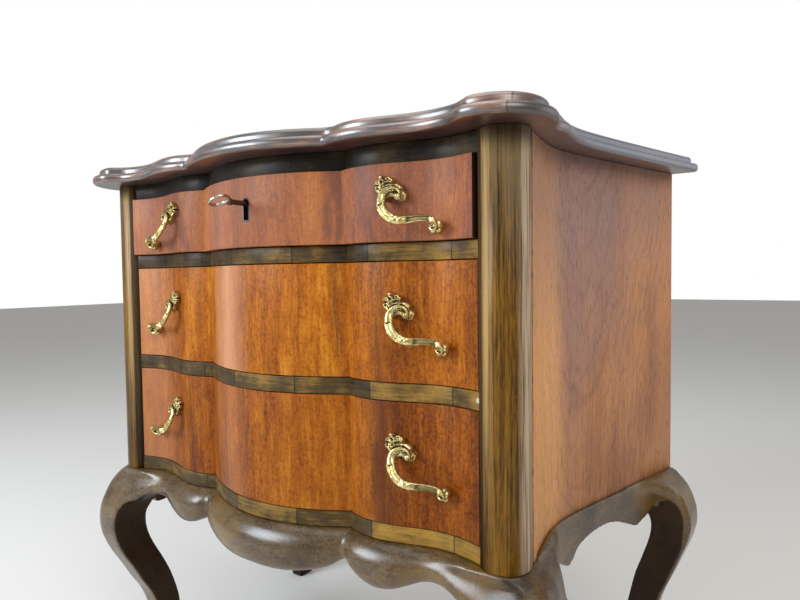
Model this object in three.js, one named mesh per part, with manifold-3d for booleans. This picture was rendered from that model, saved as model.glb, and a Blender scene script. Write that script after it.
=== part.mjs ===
// A serpentine commode chest: three drawers between round corner columns, on four cabriole legs.
// Millimetres, +Z up, front towards -Y. The origin is the middle of the footprint, on the floor.
import * as THREE from 'three';
import { mergeVertices } from 'three/addons/utils/BufferGeometryUtils.js';
import Module from 'manifold-3d';

const wasm = await Module();
wasm.setup();

// Clearances
const fit = 0.3; // between two pieces that touch
const slideGap = 1.2; // between a drawer and the post beside it
const frontGap = 1; // above and below a drawer front
const overrun = 2; // how far a cut runs past its piece
const weld = 0.0001; // points nearer than this are one point

// Heights, from the floor up
const legHeight = 336;
const bottomRailHeight = 18;
const bottomOpening = 134.5;
const dividerHeight = 18.5;
const middleOpening = 129.5;
const topOpening = 82.5;
const topRailHeight = 21;
const noseHeight = 12; // the rounded lower band of the top's edge
const stepHeight = 10.5; // the smaller band above it

// Plan of the front: a centre lobe, a crease, then a wave out to the post
const openingHalf = 282;
const lobeHalf = 117.4;
const creaseDepth = 37;
const creaseRun = 20;
const crestAt = 155;
const crestDepth = 28;
const troughAt = 237;
const troughDepth = 43.4;

// Plan of the sides, hollow at the waist and flared to the back
const bodyDepth = 437;
const waistAt = 158;
const waistOut = 28.5; // the waist beyond the opening
const waistRound = 40;
const frontFlareShare = 0.21;
const backFlareShare = 0.29;

// Corner columns
const columnRadius = 26;
const columnInset = 18; // column axis beyond the opening
const columnAxisDepth = 51;
const postDepth = 84;

// Boards and rails
const sideThickness = 18;
const backThickness = 6;
const railReach = 108; // back edge of the front rails
const rearPostWidth = 30;
const rearPostDepth = 32;
const runnerWidth = 30;
const guideHeight = 14;
const guideWidth = 8;
const stopWidth = 26;
const stopDepth = 12;
const stopHeight = 6;

// Top
const frontOverhang = 37;
const sideOverhang = 31;
const backOverhang = 5;
const cornerRadius = 58.5;
const cornerInset = 4;
const cornerAdvance = 6;
const noseInset = 3;
const stepInset = 9;
const stepRound = 4.5;

// Legs and aprons
const kneeReach = 73.6;
const legOffset = 10; // leg out and back from the column's axis, along x and y
const footWidth = 31;
const backLegOut = 61.4; // back leg beyond the opening
const backLegDepth = 45;
const arrisRound = 4;
const apronThickness = 24;
const apronBulge = 15;
const sideApronProud = 5;
const kneeRun = 46; // length over which an apron swells into the knee
const lobeDrop = 54.5; // front apron at its deepest, in the middle
const wingDrop = 51.5; // and beside the creases
const sideCuspDrop = 53;
const backApronHeight = 44;

// Drawers
const frontThickness = 20;
const drawerSideThickness = 12;
const drawerBackThickness = 10;
const bottomThickness = 6;
const bottomInset = 9; // drawer bottom above the edge of the drawer sides
const drawerBackGap = 1; // behind the drawer box
const rimDrop = 9; // drawer sides below the top of the opening
const topDrawerAjar = 8; // how far the top drawer stands open at rest

// Pulls
const pullInset = 84; // volute in from the post
const topLeftPullShift = 12; // the top drawer's left pull sits nearer the middle
const topPullRise = 46; // volute above the floor of its opening
const middlePullRise = 74;
const bottomPullRise = 80;
const pullSpan = 65; // volute to end scroll and leaf together
const gripStand = 21;
const gripRadius = 3.6;
const leafThickness = 6;
const scrollRadius = 7;
const scrollWidth = 9;
const postRadius = 4.5;
const studRadius = 2;
const nutRadius = 5;
const nutHeight = 3;
const studPast = 6;
const pinLength = 12; // of the blind pin behind the end scroll

// Lock and key
const keyAt = 4.5;
const keyRise = 51; // above the floor of the top opening
const keyTurn = 22; // degrees past level, in which the key is left standing
const shankRadius = 3;
const collarRadius = 4.2;
const collarLength = 4;
const bowStand = 37.5; // middle of the bow in front of the drawer
const bowHalfWidth = 11.5;
const bowHalfLength = 10.5;
const bowWire = 1.8;
const bitReach = 8;
const bitWidth = 6;
const bitThickness = 2.4;
const lockWidth = 56;
const lockDepth = 14;
const lockRecess = 8;
const lockBelow = 20; // lock case below the key's axis
const boltWidth = 24;
const boltThickness = 6;
const boltHeight = 13;
const boltThrow = 5;
const keyholeRound = 5;
const keyholeHalf = 3.8;
const keyholeDrop = 19;
const keyholeWall = 1.4;
const keyholeDepth = 5;

// Levels worked out from the heights
const bottomOpeningFloor = legHeight + bottomRailHeight;
const lowerDivider = bottomOpeningFloor + bottomOpening;
const middleOpeningFloor = lowerDivider + dividerHeight;
const upperDivider = middleOpeningFloor + middleOpening;
const topOpeningFloor = upperDivider + dividerHeight;
const topRailBase = topOpeningFloor + topOpening;
const caseTop = topRailBase + topRailHeight;

const columnAxis = openingHalf + columnInset;
const waistHalf = openingHalf + waistOut;
const backLegAxis = openingHalf + backLegOut;
const pullAt = openingHalf - pullInset;
const keyHeight = topOpeningFloor + keyRise;
const frameDepth = bodyDepth - backThickness;
const drawerHalf = openingHalf - slideGap;
const rearPostFront = frameDepth - rearPostDepth;
const drawerReach = rearPostFront - drawerBackGap;

// Materials
const wood = (color, roughness) => new THREE.MeshStandardMaterial({ color, roughness, metalness: 0 });
const metal = (color, roughness) => new THREE.MeshStandardMaterial({ color, roughness, metalness: 1 });
const materials = {
  edge: wood(0x33241c, 0.3),
  stained: wood(0x4a3a22, 0.35),
  veneer: wood(0x8c4a22, 0.4),
  panel: wood(0x8a5630, 0.45),
  inner: wood(0xb08a5c, 0.7),
  brass: metal(0xc2a35a, 0.35),
  steel: metal(0x6d6f73, 0.4),
};

// How far the drawer fronts lie behind the foremost line, at x from the middle
function frontDepth(x) {
  const away = Math.abs(x);
  if (away <= lobeHalf) return creaseDepth * (away / lobeHalf) ** 2;
  const left = Math.max(0, 1 - (away - lobeHalf) / creaseRun);
  return waveDepth(away) + (creaseDepth - waveDepth(lobeHalf)) * left * left;
}

function waveDepth(away) {
  const mean = (crestDepth + troughDepth) / 2;
  const swing = (troughDepth - crestDepth) / 2;
  return mean - swing * Math.cos((Math.PI * (away - crestAt)) / (troughAt - crestAt));
}

// Half width of the body at depth y
function sideHalf(y) {
  const share = y < waistAt ? frontFlareShare : backFlareShare;
  return waistHalf + share * (Math.hypot(y - waistAt, waistRound) - waistRound);
}

// count + 1 even steps from one value to another
function steps(from, to, count) {
  return Array.from({ length: count + 1 }, (_, i) => from + ((to - from) * i) / count);
}

// Places across the front, with one on each crease
function frontStations(half, lobeSteps, wingSteps) {
  const wing = steps(lobeHalf, half, wingSteps);
  const middle = steps(-lobeHalf, lobeHalf, lobeSteps);
  return [...wing.map((x) => -x).reverse(), ...middle.slice(1, -1), ...wing];
}

// A value read from rows of [place, value], with smooth steps between the rows
function readRows(rows, place) {
  const next = rows.findIndex(([at]) => at >= place);
  if (next === 0) return rows[0][1];
  if (next < 0) return rows[rows.length - 1][1];
  const [from, low] = rows[next - 1];
  const [to, high] = rows[next];
  const t = (place - from) / (to - from);
  return low + (high - low) * t * t * (3 - t - t);
}

// A value read from rows by a curve through all of them
function readCurve(rows, place) {
  const last = rows.length - 1;
  const next = Math.min(Math.max(rows.findIndex(([at]) => at >= place), 1), last);
  const at = (i) => rows[Math.min(Math.max(i, 0), last)];
  const slope = (i) => (at(i + 1)[1] - at(i - 1)[1]) / (at(i + 1)[0] - at(i - 1)[0]);
  const [from, low] = at(next - 1);
  const [to, high] = at(next);
  const run = to - from;
  const t = Math.min(Math.max((place - from) / run, 0), 1);
  const lowPart = (1 - t) * (1 - t) * ((1 + t + t) * low + t * run * slope(next - 1));
  return lowPart + t * t * ((3 - t - t) * high + (t - 1) * run * slope(next));
}

// Solids: closed meshes that are joined and cut
function toSolid(geometry) {
  const bare = geometry.index ? geometry.toNonIndexed() : geometry.clone();
  bare.deleteAttribute('normal');
  bare.deleteAttribute('uv');
  const merged = mergeVertices(bare, weld);
  const vertProperties = merged.attributes.position.array;
  const triVerts = new Uint32Array(merged.index.array);
  return new wasm.Manifold(new wasm.Mesh({ numProp: 3, vertProperties, triVerts }));
}

function toGeometry(solid) {
  const mesh = solid.getMesh();
  const geometry = new THREE.BufferGeometry();
  geometry.setAttribute('position', new THREE.BufferAttribute(mesh.vertProperties.slice(), 3));
  geometry.setIndex(new THREE.BufferAttribute(mesh.triVerts.slice(), 1));
  const flat = geometry.toNonIndexed();
  flat.computeVertexNormals();
  return flat;
}

function join(first, ...others) {
  return toGeometry(others.reduce((whole, g) => whole.add(toSolid(g)), toSolid(first)));
}

function cut(body, ...tools) {
  return toGeometry(tools.reduce((whole, g) => whole.subtract(toSolid(g)), toSolid(body)));
}

// A closed body from points and faces, with its faces turned outwards
function closedBody(points, faces) {
  const volume = faces.reduce((sum, [a, b, c]) => {
    const normal = new THREE.Vector3().crossVectors(points[b], points[c]);
    return sum + points[a].dot(normal);
  }, 0);
  const turned = volume < 0 ? faces.map(([a, b, c]) => [a, c, b]) : faces;
  const corners = turned.flat().flatMap((i) => points[i].toArray());
  const geometry = new THREE.BufferGeometry();
  geometry.setAttribute('position', new THREE.Float32BufferAttribute(corners, 3));
  geometry.computeVertexNormals();
  return geometry;
}

// A skin over rings of equally many points, closed at both ends by the given end faces
function loft(rings, endFaces) {
  const around = rings[0].length;
  const faces = [];
  for (let r = 0; r < rings.length - 1; r++) {
    for (let i = 0; i < around; i++) {
      const a = r * around + i;
      const b = r * around + ((i + 1) % around);
      faces.push([a, b, b + around], [a, b + around, a + around]);
    }
  }
  const last = (rings.length - 1) * around;
  for (const [a, b, c] of endFaces) faces.push([a, c, b], [last + a, last + b, last + c]);
  return closedBody(rings.flat(), faces);
}

const flatFaces = (outline) => THREE.ShapeUtils.triangulateShape(outline, []);
const fanFaces = (count) => Array.from({ length: count - 2 }, (_, i) => [0, i + 1, i + 2]);
const at2 = (x, y) => new THREE.Vector2(x, y);

// An upright prism over an outline of [x, y] points
function prism(outline, base, top) {
  const shape = new THREE.Shape(outline.map(([x, y]) => at2(x, y)));
  const geometry = new THREE.ExtrudeGeometry(shape, { depth: top - base, bevelEnabled: false });
  return geometry.translate(0, 0, base);
}

// A box between two corners
function block(x0, y0, z0, x1, y1, z1) {
  const geometry = new THREE.BoxGeometry(x1 - x0, y1 - y0, z1 - z0);
  return geometry.translate((x0 + x1) / 2, (y0 + y1) / 2, (z0 + z1) / 2);
}

// A rod along Y
function rod(radius, x, z, y0, y1, sides) {
  const geometry = new THREE.CylinderGeometry(radius, radius, y1 - y0, sides);
  return geometry.translate(x, (y0 + y1) / 2, 0).translate(0, 0, z);
}

// The key's bow is the foremost point and the top's back edge the hindmost
const faceAtKey = frontDepth(keyAt);
const bowMiddle = faceAtKey - bowStand;
const foremost = bowMiddle - bowHalfLength - bowWire - topDrawerAjar;
const group = new THREE.Group();
group.position.y = -(foremost + bodyDepth + backOverhang) / 2;

function addMesh(parent, name, geometry, material) {
  const mesh = new THREE.Mesh(geometry, material);
  mesh.name = name;
  parent.add(mesh);
  return mesh;
}

// The same piece on both sides of the middle; the right one is modelled, the left one mirrored
function addPair(parent, name, geometry, material) {
  addMesh(parent, name + '_right', geometry, material);
  addMesh(parent, name + '_left', geometry, material).scale.x = -1;
}

// Top: its outline follows the body, and each band of the moulded edge is the outline set in
function topOutline() {
  const cornerX = columnAxis - cornerInset;
  const cornerY = columnAxisDepth - cornerAdvance;
  const joinX = openingHalf - columnInset;
  const joinY = postDepth - cornerAdvance;
  const front = frontStations(joinX, 14, 9).map((x) => [x, frontDepth(x) - frontOverhang]);
  const start = Math.acos((openingHalf - cornerX) / cornerRadius);
  const end = Math.asin((joinY - cornerY) / cornerRadius);
  const arc = steps(-start, end, 11).slice(1, -1);
  const corner = arc.map((a) => [cornerX + cornerRadius * Math.cos(a), cornerY + cornerRadius * Math.sin(a)]);
  const side = steps(joinY, bodyDepth + backOverhang, 10).map((y) => [sideHalf(y) + sideOverhang, y]);
  const right = [...corner, ...side];
  const left = right.map(([x, y]) => [-x, y]).reverse();
  return [...left, ...front, ...right];
}

// An outline moved inwards by a distance; its points run anticlockwise and its back edge stays
function setIn(outline, distance) {
  const count = outline.length;
  return outline.map(([x, y], i) => {
    const [px, py] = outline[(i + count - 1) % count];
    const [nx, ny] = outline[(i + 1) % count];
    const before = at2(x - px, y - py).normalize();
    const after = at2(nx - x, ny - y).normalize();
    const isBack = i === 0 || i === count - 1;
    const along = isBack ? at2(0, i === 0 ? -1 : 1) : before.clone().add(after).normalize();
    const spread = isBack ? 1 : Math.max(along.dot(after), 0.5);
    return at2(x - (along.y * distance) / spread, isBack ? y : y + (along.x * distance) / spread);
  });
}

function makeTop() {
  const outline = topOutline();
  const bands = [
    [0, noseInset],
    [noseHeight / 6, noseInset / 3],
    [noseHeight / 2, 0],
    [(noseHeight * 5) / 6, noseInset / 2],
    [noseHeight, noseInset + stepRound / 3],
    [noseHeight, stepInset],
    [noseHeight + stepHeight / 2, stepInset],
    [noseHeight + stepHeight - stepRound / 2, stepInset + stepRound / 6],
    [noseHeight + stepHeight, stepInset + stepRound],
  ];
  const rings = bands.map(([rise, inset]) =>
    setIn(outline, inset).map((p) => new THREE.Vector3(p.x, p.y, caseTop + fit + rise)),
  );
  return loft(rings, flatFaces(outline.map(([x, y]) => at2(x, y))));
}

addMesh(group, 'top', makeTop(), materials.edge);

// Corner columns: a round front on a post that the side panel is rebated to
const panelFront = columnAxisDepth + Math.sqrt(columnRadius ** 2 - (sideHalf(postDepth) - columnAxis) ** 2);

function makeColumn() {
  const start = Math.PI + Math.acos(columnInset / columnRadius);
  const end = Math.asin((panelFront - columnAxisDepth) / columnRadius) + 2 * Math.PI;
  const arc = steps(start, end, 14).map((a) => [
    columnAxis + columnRadius * Math.cos(a),
    columnAxisDepth + columnRadius * Math.sin(a),
  ]);
  const rebate = steps(panelFront, postDepth, 2).map((y) => [sideHalf(y) - sideThickness - fit, y]);
  return prism([...arc, ...rebate, [openingHalf, postDepth]], legHeight + fit, caseTop);
}

addPair(group, 'front_column', makeColumn(), materials.stained);

// Side panels, and the pieces behind them
function makeSidePanel() {
  const places = steps(panelFront + fit, bodyDepth, 14);
  const outer = places.map((y) => [sideHalf(y), y]);
  const inner = places.map((y) => [sideHalf(y) - sideThickness, y]).reverse();
  return prism([...outer, ...inner], legHeight + fit, caseTop);
}

const innerSide = (y) => sideHalf(y) - sideThickness - fit;
const rearPostInner = innerSide(rearPostFront) - rearPostWidth;

function makeRearPost() {
  const outline = [
    [rearPostInner, rearPostFront],
    [innerSide(rearPostFront), rearPostFront],
    [innerSide(frameDepth - fit), frameDepth - fit],
    [rearPostInner, frameDepth - fit],
  ];
  return prism(outline, legHeight + fit, caseTop);
}

function makeBackPanel() {
  const outline = [
    [-innerSide(frameDepth), frameDepth],
    [innerSide(frameDepth), frameDepth],
    [innerSide(bodyDepth), bodyDepth],
    [-innerSide(bodyDepth), bodyDepth],
  ];
  return prism(outline, legHeight + fit, caseTop);
}

addPair(group, 'side_panel', makeSidePanel(), materials.panel);
addPair(group, 'rear_post', makeRearPost(), materials.inner);
addMesh(group, 'back_panel', makeBackPanel(), materials.inner);

// Places of the lock, which the top rail and the top drawer both follow
const lockFront = faceAtKey + frontThickness - lockRecess;
const lockTop = topRailBase - frontGap;
const lockBase = keyHeight - lockBelow;
const boltTop = lockTop - fit;
const boltBase = boltTop - boltHeight;
const boltFront = lockFront + (lockDepth - boltThickness) / 2;
const bitSwing = bitReach + shankRadius + fit;

// Rails between the posts
function makeFrontRail(base, top) {
  const half = openingHalf - fit;
  const front = frontStations(half, 10, 9).map((x) => [x, frontDepth(x)]);
  return prism([...front, [half, railReach], [-half, railReach]], base, top);
}

// Two stop blocks stand on the rail below each drawer, just behind the drawer front
function makeStoppedRail(base, top) {
  const deepest = Math.max(frontDepth(crestAt - stopWidth / 2), frontDepth(crestAt + stopWidth / 2));
  const front = deepest + frontThickness + fit;
  const stops = [crestAt, -crestAt].map((x) =>
    block(x - stopWidth / 2, front, base, x + stopWidth / 2, front + stopDepth, top + stopHeight),
  );
  return join(makeFrontRail(base, top), ...stops);
}

function makeTopRail() {
  const mortise = block(
    keyAt - boltWidth / 2 - slideGap,
    boltFront - topDrawerAjar - slideGap,
    topRailBase - overrun,
    keyAt + boltWidth / 2 + slideGap,
    boltFront + boltThickness + slideGap,
    topRailBase + boltThrow + overrun,
  );
  return cut(makeFrontRail(topRailBase, caseTop), mortise);
}

function makeBackRail(base, top) {
  const half = rearPostInner - fit;
  return block(-half, rearPostFront, base, half, frameDepth - fit, top);
}

addMesh(group, 'top_rail', makeTopRail(), materials.stained);
addMesh(group, 'upper_divider', makeStoppedRail(upperDivider, topOpeningFloor), materials.stained);
addMesh(group, 'lower_divider', makeStoppedRail(lowerDivider, middleOpeningFloor), materials.stained);
addMesh(group, 'bottom_rail', makeStoppedRail(legHeight + fit, bottomOpeningFloor), materials.stained);
addMesh(group, 'back_top_rail', makeBackRail(topRailBase, caseTop), materials.inner);
addMesh(group, 'back_upper_rail', makeBackRail(upperDivider, topOpeningFloor), materials.inner);
addMesh(group, 'back_lower_rail', makeBackRail(lowerDivider, middleOpeningFloor), materials.inner);
addMesh(group, 'back_bottom_rail', makeBackRail(legHeight + fit, bottomOpeningFloor), materials.inner);

// Runners carry the drawer sides, with a guide beside them; kickers keep the top drawer level
const runnerFront = railReach + fit;
const runnerBack = rearPostFront - fit;

function makeRunner(base, top) {
  const outer = openingHalf + guideWidth;
  const bar = block(outer - runnerWidth, runnerFront, base, outer, runnerBack, top);
  const guide = block(openingHalf, runnerFront, base, outer, runnerBack, top + guideHeight);
  return join(bar, guide);
}

function makeKicker() {
  const inner = openingHalf + guideWidth - runnerWidth;
  return block(inner, runnerFront, topRailBase, openingHalf + guideWidth, runnerBack, caseTop);
}

addPair(group, 'bottom_runner', makeRunner(legHeight + fit, bottomOpeningFloor), materials.inner);
addPair(group, 'middle_runner', makeRunner(lowerDivider, middleOpeningFloor), materials.inner);
addPair(group, 'top_runner', makeRunner(upperDivider, topOpeningFloor), materials.inner);
addPair(group, 'kicker', makeKicker(), materials.inner);

// Legs: the outer corner swings out at the knee, in at the ankle and a little out at the foot.
// Rows are [share of the leg's height, share of the knee's reach].
const outerShares = [
  [0, 0.02], [0.015, 0.04], [0.045, 0.054], [0.12, 0.02], [0.19, 0.007], [0.27, 0.04], [0.336, 0.109],
  [0.38, 0.177], [0.423, 0.272], [0.473, 0.428], [0.545, 0.625], [0.6, 0.788], [0.649, 0.9],
  [0.696, 0.973], [0.756, 1], [0.815, 0.965], [0.869, 0.87], [0.92, 0.747], [0.964, 0.571], [1, 0.365],
];
const innerShares = [
  [0, -0.57], [0.02, -0.59], [0.09, -0.59], [0.18, -0.6], [0.25, -0.597], [0.318, -0.577],
  [0.363, -0.543], [0.408, -0.489], [0.47, -0.394], [0.539, -0.245], [0.604, -0.082], [0.661, 0.027],
  [0.711, 0.068], [0.762, 0.054], [0.798, -0.04], [0.836, -0.19], [0.86, -0.38], [0.89, -0.54], [1, -0.64],
];
const cornerRoundShares = [[0, 0.1], [0.3, 0.35], [0.6, 0.6], [0.85, 0.8], [1, 1]];
const offsetShares = [[0, 1], [0.965, 1], [1, 0]];
const kneeBlockShare = 0.8; // above this share of its height a leg meets its aprons
const kneeSlantShare = 0.32; // how far the knee's side runs in towards its back
const legLevelShares = [
  0, 0.015, 0.045, 0.12, 0.19, 0.27, 0.336, 0.4, 0.473, 0.545, 0.6, 0.649, 0.696, 0.73, 0.762, 0.798,
  0.836, 0.86, 0.89, 0.92, 0.945, 0.968, 0.986, 1,
];

const kneeOut = (share) => kneeReach * readCurve(outerShares, share);
const kneeIn = (share) => kneeReach * readCurve(innerShares, share);
const cornerRoundShare = (share) => readRows(cornerRoundShares, share);
const frontCornerRound = (share) => arrisRound + (columnRadius - arrisRound) * cornerRoundShare(share);

// A four-sided ring with rounded corners; the outer front corner has its own rounding
function ring({ x0, y0, x1, y1, backX }, z, outerRound) {
  const corners = [
    [x1 - outerRound, y0 + outerRound, outerRound, -Math.PI / 2],
    [backX - arrisRound, y1 - arrisRound, arrisRound, 0],
    [x0 + arrisRound, y1 - arrisRound, arrisRound, Math.PI / 2],
    [x0 + arrisRound, y0 + arrisRound, arrisRound, Math.PI],
  ];
  return corners.flatMap(([cx, cy, radius, turn], i) =>
    steps(turn, turn + Math.PI / 2, i === 0 ? 4 : 1).map(
      (a) => new THREE.Vector3(cx + radius * Math.cos(a), cy + radius * Math.sin(a), z),
    ),
  );
}

// Corners of the front leg's section at a share of its height
function frontLegBox(share) {
  const rounding = frontCornerRound(share) * (Math.SQRT2 - 1);
  const offset = legOffset * readRows(offsetShares, share);
  const out = offset + (kneeOut(share) + rounding) / Math.SQRT2;
  const x1 = columnAxis + out;
  const y0 = columnAxisDepth - out + offset + offset;
  const inward = kneeIn(share) / Math.SQRT2;
  const x0 = Math.min(columnAxis + offset + inward, x1 - footWidth);
  const y1 = Math.max(columnAxisDepth + offset - inward, y0 + footWidth);
  if (share < kneeBlockShare) return { x0, y0, x1, y1, backX: slantedX(x1, y1 - y0) };
  const backY = Math.min(postDepth, y1);
  const backX = Math.max(sideHalf(postDepth) + sideApronProud, slantedX(x1, backY - y0));
  return { x0: Math.max(openingHalf + fit, x0), y0, x1, y1: backY, backX };
}

// Where the side of a leg ends at its back, when its front corner is at x and it is so deep
const slantedX = (x, depth) => x - kneeSlantShare * (depth - footWidth);

function makeFrontLeg() {
  const rings = legLevelShares.map((share) => {
    return ring(frontLegBox(share), share * legHeight, frontCornerRound(share));
  });
  return loft(rings, fanFaces(rings[0].length));
}

// The back leg swings sideways only, so that the chest stands close to a wall
const backLegFront = bodyDepth - backLegDepth;
const backOuterShares = [
  [0, 0.04], [0.045, 0.058], [0.12, 0.03], [0.19, 0.042], [0.27, 0.103], [0.336, 0.2], [0.423, 0.348],
  [0.512, 0.484], [0.598, 0.66], [0.685, 0.823], [0.747, 0.932], [0.81, 1], [0.869, 0.986], [0.923, 0.891],
  [0.979, 0.715], [1, 0.633],
];
const backInnerShares = [
  [0, -0.345], [0.045, -0.352], [0.12, -0.36], [0.25, -0.345], [0.33, -0.29], [0.452, -0.155],
  [0.574, -0.019], [0.664, 0.124], [0.744, 0.239], [0.796, 0.266], [0.836, 0.225], [0.86, 0.117],
  [0.89, -0.05], [0.93, -0.29], [1, -0.427],
];
const backDepthShares = [[0, 0.76], [0.045, 0.77], [0.15, 0.73], [0.27, 0.76], [0.5, 0.95], [0.6, 1], [1, 1]];

function backLegBox(share) {
  const x1 = backLegAxis + kneeReach * readCurve(backOuterShares, share);
  const x0 = backLegAxis + kneeReach * readCurve(backInnerShares, share);
  const y0 = bodyDepth - backLegDepth * Math.min(1, readCurve(backDepthShares, share));
  return { x0, y0, x1, y1: bodyDepth, backX: x1 };
}

function makeBackLeg() {
  const rings = legLevelShares.map((share) => {
    return ring(backLegBox(share), share * legHeight, arrisRound);
  });
  return loft(rings, fanFaces(rings[0].length));
}

addPair(group, 'front_leg', makeFrontLeg(), materials.stained);
addPair(group, 'back_leg', makeBackLeg(), materials.stained);

// Front apron: a swelling moulding with a scalloped lower edge, which runs into the knees.
// Rows are [share of the way across the lobe or the wing, share of its deepest drop].
const lobeDropShares = [[0, 1], [0.35, 1], [0.6, 0.93], [0.81, 0.8], [0.92, 0.67], [1, 0.6]];
const wingDropShares = [
  [0, 0.635], [0.046, 0.74], [0.113, 0.84], [0.2, 0.955], [0.28, 1], [0.38, 0.955], [0.47, 0.84],
  [0.563, 0.706], [0.635, 0.645], [0.72, 0.65], [0.8, 0.715], [0.9, 0.87], [1, 1],
];
// Section of the moulding: [share of its height from the top, share of the bulge]
const bulgeShares = [[0, 0.1], [0.12, 0.5], [0.3, 0.86], [0.5, 1], [0.7, 0.95], [0.87, 0.75], [1, 0.2]];

function frontDrop(x) {
  const away = Math.abs(x);
  if (away <= lobeHalf) return lobeDrop * readCurve(lobeDropShares, away / lobeHalf);
  return wingDrop * readCurve(wingDropShares, (away - lobeHalf) / (openingHalf - lobeHalf));
}

function makeFrontApron() {
  const half = openingHalf - fit;
  const top = legHeight - fit;
  const rings = frontStations(half, 16, 14).map((x) => {
    const drop = frontDrop(x);
    const toKnee = Math.max(0, 1 - (half - Math.abs(x)) / kneeRun) ** 2;
    const face = bulgeShares.map(([down, bulge]) => {
      const z = top - drop * down;
      const plain = frontDepth(x) - apronBulge * bulge;
      const knee = Math.min(plain, frontLegBox(z / legHeight).y0 + arrisRound * (1 - bulge));
      return new THREE.Vector3(x, plain + (knee - plain) * toKnee, z);
    });
    const backY = frontDepth(x) + apronThickness;
    return [new THREE.Vector3(x, backY, top), ...face, new THREE.Vector3(x, backY, top - drop)];
  });
  return loft(rings, fanFaces(rings[0].length));
}

// Side aprons: two sharp cusps with an arch between them and a small notch before the first one.
// Rows are [share of the way from the front leg to the back leg, share of the cusps' drop].
const sideDropShares = [
  [0, 1.34], [0.04, 1.24], [0.085, 1.13], [0.13, 1.04], [0.18, 0.965], [0.23, 0.92], [0.252, 0.785],
  [0.28, 0.835], [0.31, 0.93], [0.34, 1.045], [0.357, 0.985], [0.373, 0.915], [0.39, 0.81], [0.406, 0.73],
  [0.437, 0.665], [0.468, 0.62], [0.536, 0.56], [0.618, 0.555], [0.698, 0.65], [0.75, 0.75], [0.8, 0.88],
  [0.838, 1], [0.87, 0.94], [0.92, 0.85], [1, 0.69],
];
const sideBulgeShares = [[0, 0.5], [0.2, 0.85], [0.5, 1], [1, 0.9]];

function makeSideApron() {
  const from = postDepth + fit;
  const to = backLegFront - fit;
  const top = legHeight - fit;
  const rings = sideDropShares.map(([along, dropShare]) => {
    const y = from + (to - from) * along;
    const drop = sideCuspDrop * dropShare;
    const nearFront = Math.max(0, 1 - (y - from) / kneeRun) ** 2;
    const nearBack = Math.max(0, 1 - (to - y) / kneeRun) ** 2;
    const face = sideBulgeShares.map(([down, bulge]) => {
      const z = top - drop * down;
      const plain = sideHalf(y) + sideApronProud * bulge;
      const frontKnee = Math.max(plain, frontLegBox(z / legHeight).backX - arrisRound);
      const backKnee = Math.max(plain, backLegBox(z / legHeight).x1 - arrisRound);
      const x = plain + (frontKnee - plain) * nearFront + (backKnee - plain) * nearBack;
      return new THREE.Vector3(x, y, z);
    });
    const backX = sideHalf(y) - sideThickness;
    return [new THREE.Vector3(backX, y, top), ...face, new THREE.Vector3(backX, y, top - drop)];
  });
  return loft(rings, fanFaces(rings[0].length));
}

function makeBackApron() {
  const half = backLegBox(1).x0 - fit;
  const base = legHeight - backApronHeight;
  return block(-half, bodyDepth - sideThickness, base, half, bodyDepth, legHeight - fit);
}

addMesh(group, 'front_apron', makeFrontApron(), materials.stained);
addPair(group, 'side_apron', makeSideApron(), materials.stained);
addMesh(group, 'back_apron', makeBackApron(), materials.stained);

// Pulls: a leaf head with a small volute, a C-shaped stem, a bar that stands off, and an end scroll.
// Rows are shares of the pull's span: [across, up, stand-off share of the grip, radius share].
const gripShares = [
  [0, 0, 0.33, 1.1], [-0.07, 0.1, 0.33, 1], [-0.14, 0.115, 0.38, 1], [-0.21, 0.06, 0.45, 1],
  [-0.228, -0.03, 0.55, 1.05], [-0.192, -0.138, 0.68, 1.15], [-0.128, -0.246, 0.82, 1.25],
  [-0.017, -0.36, 0.93, 1.3], [0.09, -0.42, 1, 1.2], [0.17, -0.425, 1, 1.05], [0.27, -0.408, 1, 0.9],
  [0.42, -0.4, 1, 0.85], [0.55, -0.4, 0.95, 0.9], [0.61, -0.44, 0.8, 1.05], [0.6, -0.51, 0.5, 1.3],
];
const leafShares = [
  [0.09, 0], [0.11, 0.05], [0.03, 0.09], [-0.03, 0.18], [-0.12, 0.245], [-0.2, 0.28], [-0.28, 0.33],
  [-0.335, 0.345], [-0.385, 0.28], [-0.41, 0.17], [-0.385, 0.06], [-0.28, -0.06], [-0.2, -0.02],
  [-0.15, 0.06],
];
const scrollShare = [0.58, -0.525];
const headPostShare = [-0.16, 0.12];
const headPostStandShare = 0.4;
const fixings = [
  { share: headPostShare, reach: frontThickness + studPast },
  { share: scrollShare, reach: pinLength },
];

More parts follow.
